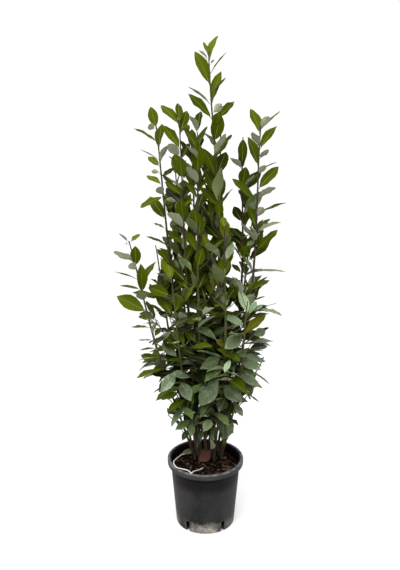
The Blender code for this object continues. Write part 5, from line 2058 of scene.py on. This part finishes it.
    def fallen(self, settings):
        """A reddish dead leaf at the stems' feet, a grey-green one by the wall, and an old one."""
        lying = (
            Leaf(np.array((-0.027, -0.004, 0.2165)), 18.0, 42.0, 40.0, 0.064, 0.0235, 0.0),
            Leaf(np.array((-0.092, 0.050, 0.2165)), 20.0, 12.0, 20.0, 0.060, 0.0120, 0.0),
            Leaf(np.array((0.048, -0.020, 0.2160)), -20.0, 3.0, 8.0, 0.050, 0.0090, 0.0),
        )
        colours = {
            "dead leaf": (0.100, 0.050, 0.034),
            "wilted leaf": (0.105, 0.115, 0.062),
            "old leaf": (0.060, 0.034, 0.020),
        }
        finishes = [leaf_finish(name, colour, 0.62, 0.0) for name, colour in colours.items()]
        tones = [(i, i, i, i) for i in range(len(lying))]
        obj = leaves_object("fallen_leaves", lying, tones, FALLEN_SEED, settings, finishes)
        finished(obj, "leaves")


class BAYLAUREL_OT_stems(bpy.types.Operator):
    """Grows the stems with their bark, from the soil to their tips, and the side twigs"""

    bl_idname = "baylaurel.stems"
    bl_label = "Stems and twigs"

    def execute(self, context):
        settings = context.scene.bay_laurel.stem
        plant = Plant.get()
        brown = self.bark("brown bark", settings.bark, settings.young, 1.0)
        green = self.bark("green bark", settings.bark, settings.young, 0.20)
        for name, finish, chosen in (
            ("brown_stems", brown, [stem for stem in STEMS if stem.name not in GREEN_STEMS]),
            ("green_stems", green, [stem for stem in STEMS if stem.name in GREEN_STEMS]),
        ):
            parts = [self.stem(stem, plant.tops[stem.name], settings.relief) for stem in chosen]
            stems = new_mesh(name, *joined(parts))
            stems.data.materials.append(finish)
            finished(stems, "bark", *[f"stem_{stem.name}" for stem in chosen])
        parts = [self.twig(twig) for stem in STEMS for twig in plant.twigs[stem.name]]
        twigs = new_mesh("side_twigs", *joined(parts))
        twigs.data.materials.append(green)
        finished(twigs, "bark")
        return {"FINISHED"}

    def stem(self, stem, top, relief):
        """One stem from soil to tip: the rule's radius, a flared foot, ridges, and a ring at each leaf."""
        length = stem.height - SOIL_LEVEL
        shares = np.linspace(0.0, 1.0, round(length / BARK_STEP) + 1)
        path = np.array([stem_point(stem, share) for share in shares])
        above = path[:, 2] - path[0, 2]
        lean = np.clip(above / (2.0 * FLARE_HEIGHT), 0.0, 1.0)
        path[:, :2] = path[0, :2] + (path[:, :2] - path[0, :2]) * (lean * lean * (3.0 - 2.0 * lean))[:, None]
        path[0, 2] -= STEM_SINK
        radius = np.array([stem_radius(stem, share) for share in shares])
        radius *= BARE_SHARE + 0.16 * np.clip((shares - stem.bare) / 0.25, 0.0, 1.0)
        radius *= 1.0 + (ROOT_FLARE - 1.0) * np.exp(-above / FLARE_FADE)
        bare = stem.bare * length
        for distance in leaf_places(top):
            radius *= 1.0 + KNUCKLE_RISE * np.exp(-((above - bare - distance) / KNUCKLE_REACH) ** 2)
        angle = np.arange(STEM_SIDES) * math.tau / STEM_SIDES
        spots = np.stack(np.broadcast_arrays(
            np.cos(angle)[None] * 2.2, np.sin(angle)[None] * 2.2, above[:, None] * 90.0 + stem.seed
        ), axis=-1).reshape(-1, 3)
        ridges = lattice_noise(spots, 1.0, 7) + 0.6 * lattice_noise(spots * (2.1, 2.1, 2.7), 1.0, 8)
        radii = radius[:, None] * (1.0 + relief * ridges.reshape(len(path), STEM_SIDES))
        return tube(path, radii, STEM_SIDES, (1.0, 0.0, 0.0))

    def twig(self, twig):
        """One side twig, thinning to its tip and thicker where each leaf springs from it."""
        total = line_length(twig.line)
        run = np.linspace(0.0, total, max(6, round(total / BARK_STEP)))
        path = np.array([line_at(twig.line, distance) for distance in run])
        path[1:-1] = (path[:-2] + path[1:-1] + path[2:]) / 3.0
        heading = path[1] - path[0]
        path[0] -= heading / np.linalg.norm(heading) * TWIG_SINK
        radius = np.linspace(twig.radius, min(twig.radius * TWIG_TIP_SHARE, STEM_TIP_RADIUS), len(run))
        for distance in leaf_places(twig):
            radius *= 1.0 + KNUCKLE_RISE * np.exp(-((run - distance) / KNUCKLE_REACH) ** 2)
        return tube(path, radius, TWIG_SIDES, (0.0, 0.0, 1.0))

    def bark(self, name, old, young, age_scale):
        """Brown and rough low down, reddish further up and green near the tips, with pale flecks."""
        finish = Finish(name, old, 0.7, Specular_IOR_Level=0.15)
        height = finish.axis("Z")
        strands = finish.noise(90.0, 4.0, (1.0, 1.0, 0.18))
        flecks = finish.patches(0.62, 0.70, 260.0, 2.0, (1.0, 1.0, 0.5))
        brown = finish.shaded(strands, old, (0.55, 0.52, 0.50), (1.5, 1.5, 1.5))
        reddish = finish.blend(strands, (0.034, 0.020, 0.015), (0.078, 0.052, 0.036))
        green = finish.shaded(strands, young, (0.75, 0.75, 0.75), (1.2, 1.2, 1.2))
        age = height + 0.25 * (finish.noise(9.0, 2.0) - 0.5)
        tone = finish.blend(finish.ramp(age, 0.32 + 0.1 * age_scale, 0.42 + 0.3 * age_scale), brown, reddish)
        tone = finish.blend(finish.ramp(age, 0.15 + 0.95 * age_scale, 0.35 + 1.25 * age_scale), tone, green)
        if age_scale < 1.0:
            tone = finish.blend(finish.ramp(age, 0.82, 1.00), tone, reddish)
        finish.feed("Base Color", finish.blend(flecks * 0.35, tone, (0.26, 0.22, 0.17)))
        finish.feed("Roughness", 0.52 + 0.30 * strands)
        finish.bump(strands * 0.7 + flecks * 0.3, 0.6, 0.0007)
        return finish.material


class BAYLAUREL_OT_leaves(bpy.types.Operator):
    """Grows every leaf and deals out the leaves' tones"""

    bl_idname = "baylaurel.leaves"
    bl_label = "Leaves"

    def execute(self, context):
        settings = context.scene.bay_laurel.leaf
        names, finishes = [], []
        for name, (base, shares, roughness, gloss) in LEAF_TONES.items():
            names.append(name)
            colour = tinted(getattr(settings, base), *shares)
            finishes.append(leaf_finish(name.replace("_", " ") + " leaf", colour, roughness, gloss))
        for name, colour in (
            ("pale_rib", (0.150, 0.180, 0.022)),
            ("green_rib", (0.115, 0.145, 0.045)),
            ("red_stalk", (0.120, 0.060, 0.030)),
            ("green_stalk", (0.140, 0.150, 0.045)),
        ):
            names.append(name)
            finishes.append(rib_finish(name.replace("_", " "), colour))
        plant = Plant.get()
        for stem in STEMS:
            leaves = plant.leaves[stem.name]
            rng = random.Random("tones " + stem.name)
            tones = []
            for leaf in leaves:
                height = leaf.root[2]
                upper = tone_of(stem, leaf, rng)
                under = rng.choice(HIGH_UNDERSIDES if height > HIGH_UNDERSIDES_FROM else LOW_UNDERSIDES)
                if leaf.tone.startswith("under"):
                    under = leaf.tone
                pale = height > PALE_RIBS_FROM and rng.random() < PALE_RIBS_SHARE
                rib = "pale_rib" if pale else "green_rib"
                stalk = rng.choice(("red_stalk", "green_stalk"))
                tones.append([names.index(n) for n in (upper, rib, under, stalk)])
            obj = leaves_object(f"leaves_{stem.name}", leaves, tones, stem.seed, settings, finishes)
            mass = f"foliage_{stem.name}"
            finished(obj, "leaves", *[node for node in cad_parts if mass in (node, node[:-2])])
        return {"FINISHED"}


class BAYLAUREL_OT_tie(bpy.types.Operator):
    """Lays the white plastic tie on the soil and the lip"""

    bl_idname = "baylaurel.tie"
    bl_label = "Tie"

    def execute(self, context):
        settings = context.scene.bay_laurel.tie
        path = np.array(smooth_run(TIE_TO_LIP, TIE_STEP) + smooth_run(TIE_BACK, TIE_STEP)[1:])
        radii = np.full(len(path), TIE_RADIUS)
        obj = new_mesh("plastic_tie", *tube(path, radii, TIE_SIDES, (0.0, 0.0, 1.0)))
        finish = Finish("off-white plastic", settings.colour, 0.45)
        dirt = finish.patches(0.50, 0.80, 120.0, 3.0)
        finish.feed("Base Color", finish.blend(dirt * 0.4, settings.colour, (0.30, 0.26, 0.21)))
        finish.feed("Roughness", 0.40 + 0.25 * dirt)
        finish.bump(finish.noise(500.0), 0.2, 0.0003)
        obj.data.materials.append(finish.material)
        finished(obj, "tie", "tie")
        return {"FINISHED"}


OPERATORS = (
    BAYLAUREL_OT_stage,
    BAYLAUREL_OT_pot,
    BAYLAUREL_OT_soil,
    BAYLAUREL_OT_stems,
    BAYLAUREL_OT_leaves,
    BAYLAUREL_OT_tie,
)


class BAYLAUREL_PT_panel(bpy.types.Panel):
    """Lists the plant's settings and the steps that build it"""

    bl_label = "Bay Laurel"
    bl_idname = "BAYLAUREL_PT_panel"
    bl_space_type = "VIEW_3D"
    bl_region_type = "UI"
    bl_category = "Bay Laurel"

    def draw(self, context):
        labels = {
            "pot": "Pot", "soil": "Soil", "stem": "Stems", "leaf": "Leaves", "tie": "Tie", "stage": "Stage",
        }
        for group, label in labels.items():
            box = self.layout.box()
            box.label(text=label)
            settings = getattr(context.scene.bay_laurel, group)
            for name in settings.__annotations__:
                box.prop(settings, name)
        for operator in OPERATORS:
            self.layout.operator(operator.bl_idname)


CLASSES = (
    PotSettings, SoilSettings, StemSettings, LeafSettings, TieSettings, StageSettings, Laurel, *OPERATORS,
    BAYLAUREL_PT_panel,
)


def register():
    """Adds the settings, the operators and the panel."""
    for cls in CLASSES:
        bpy.utils.register_class(cls)
    bpy.types.Scene.bay_laurel = PointerProperty(type=Laurel)


def unregister():
    """Takes them out again."""
    del bpy.types.Scene.bay_laurel
    for cls in reversed(CLASSES):
        bpy.utils.unregister_class(cls)


def main():
    """Builds every piece in order."""
    register()
    bpy.ops.baylaurel.stage()
    bpy.ops.baylaurel.pot()
    bpy.ops.baylaurel.soil()
    bpy.ops.baylaurel.stems()
    bpy.ops.baylaurel.leaves()
    bpy.ops.baylaurel.tie()


if __name__ == "__main__":
    main()
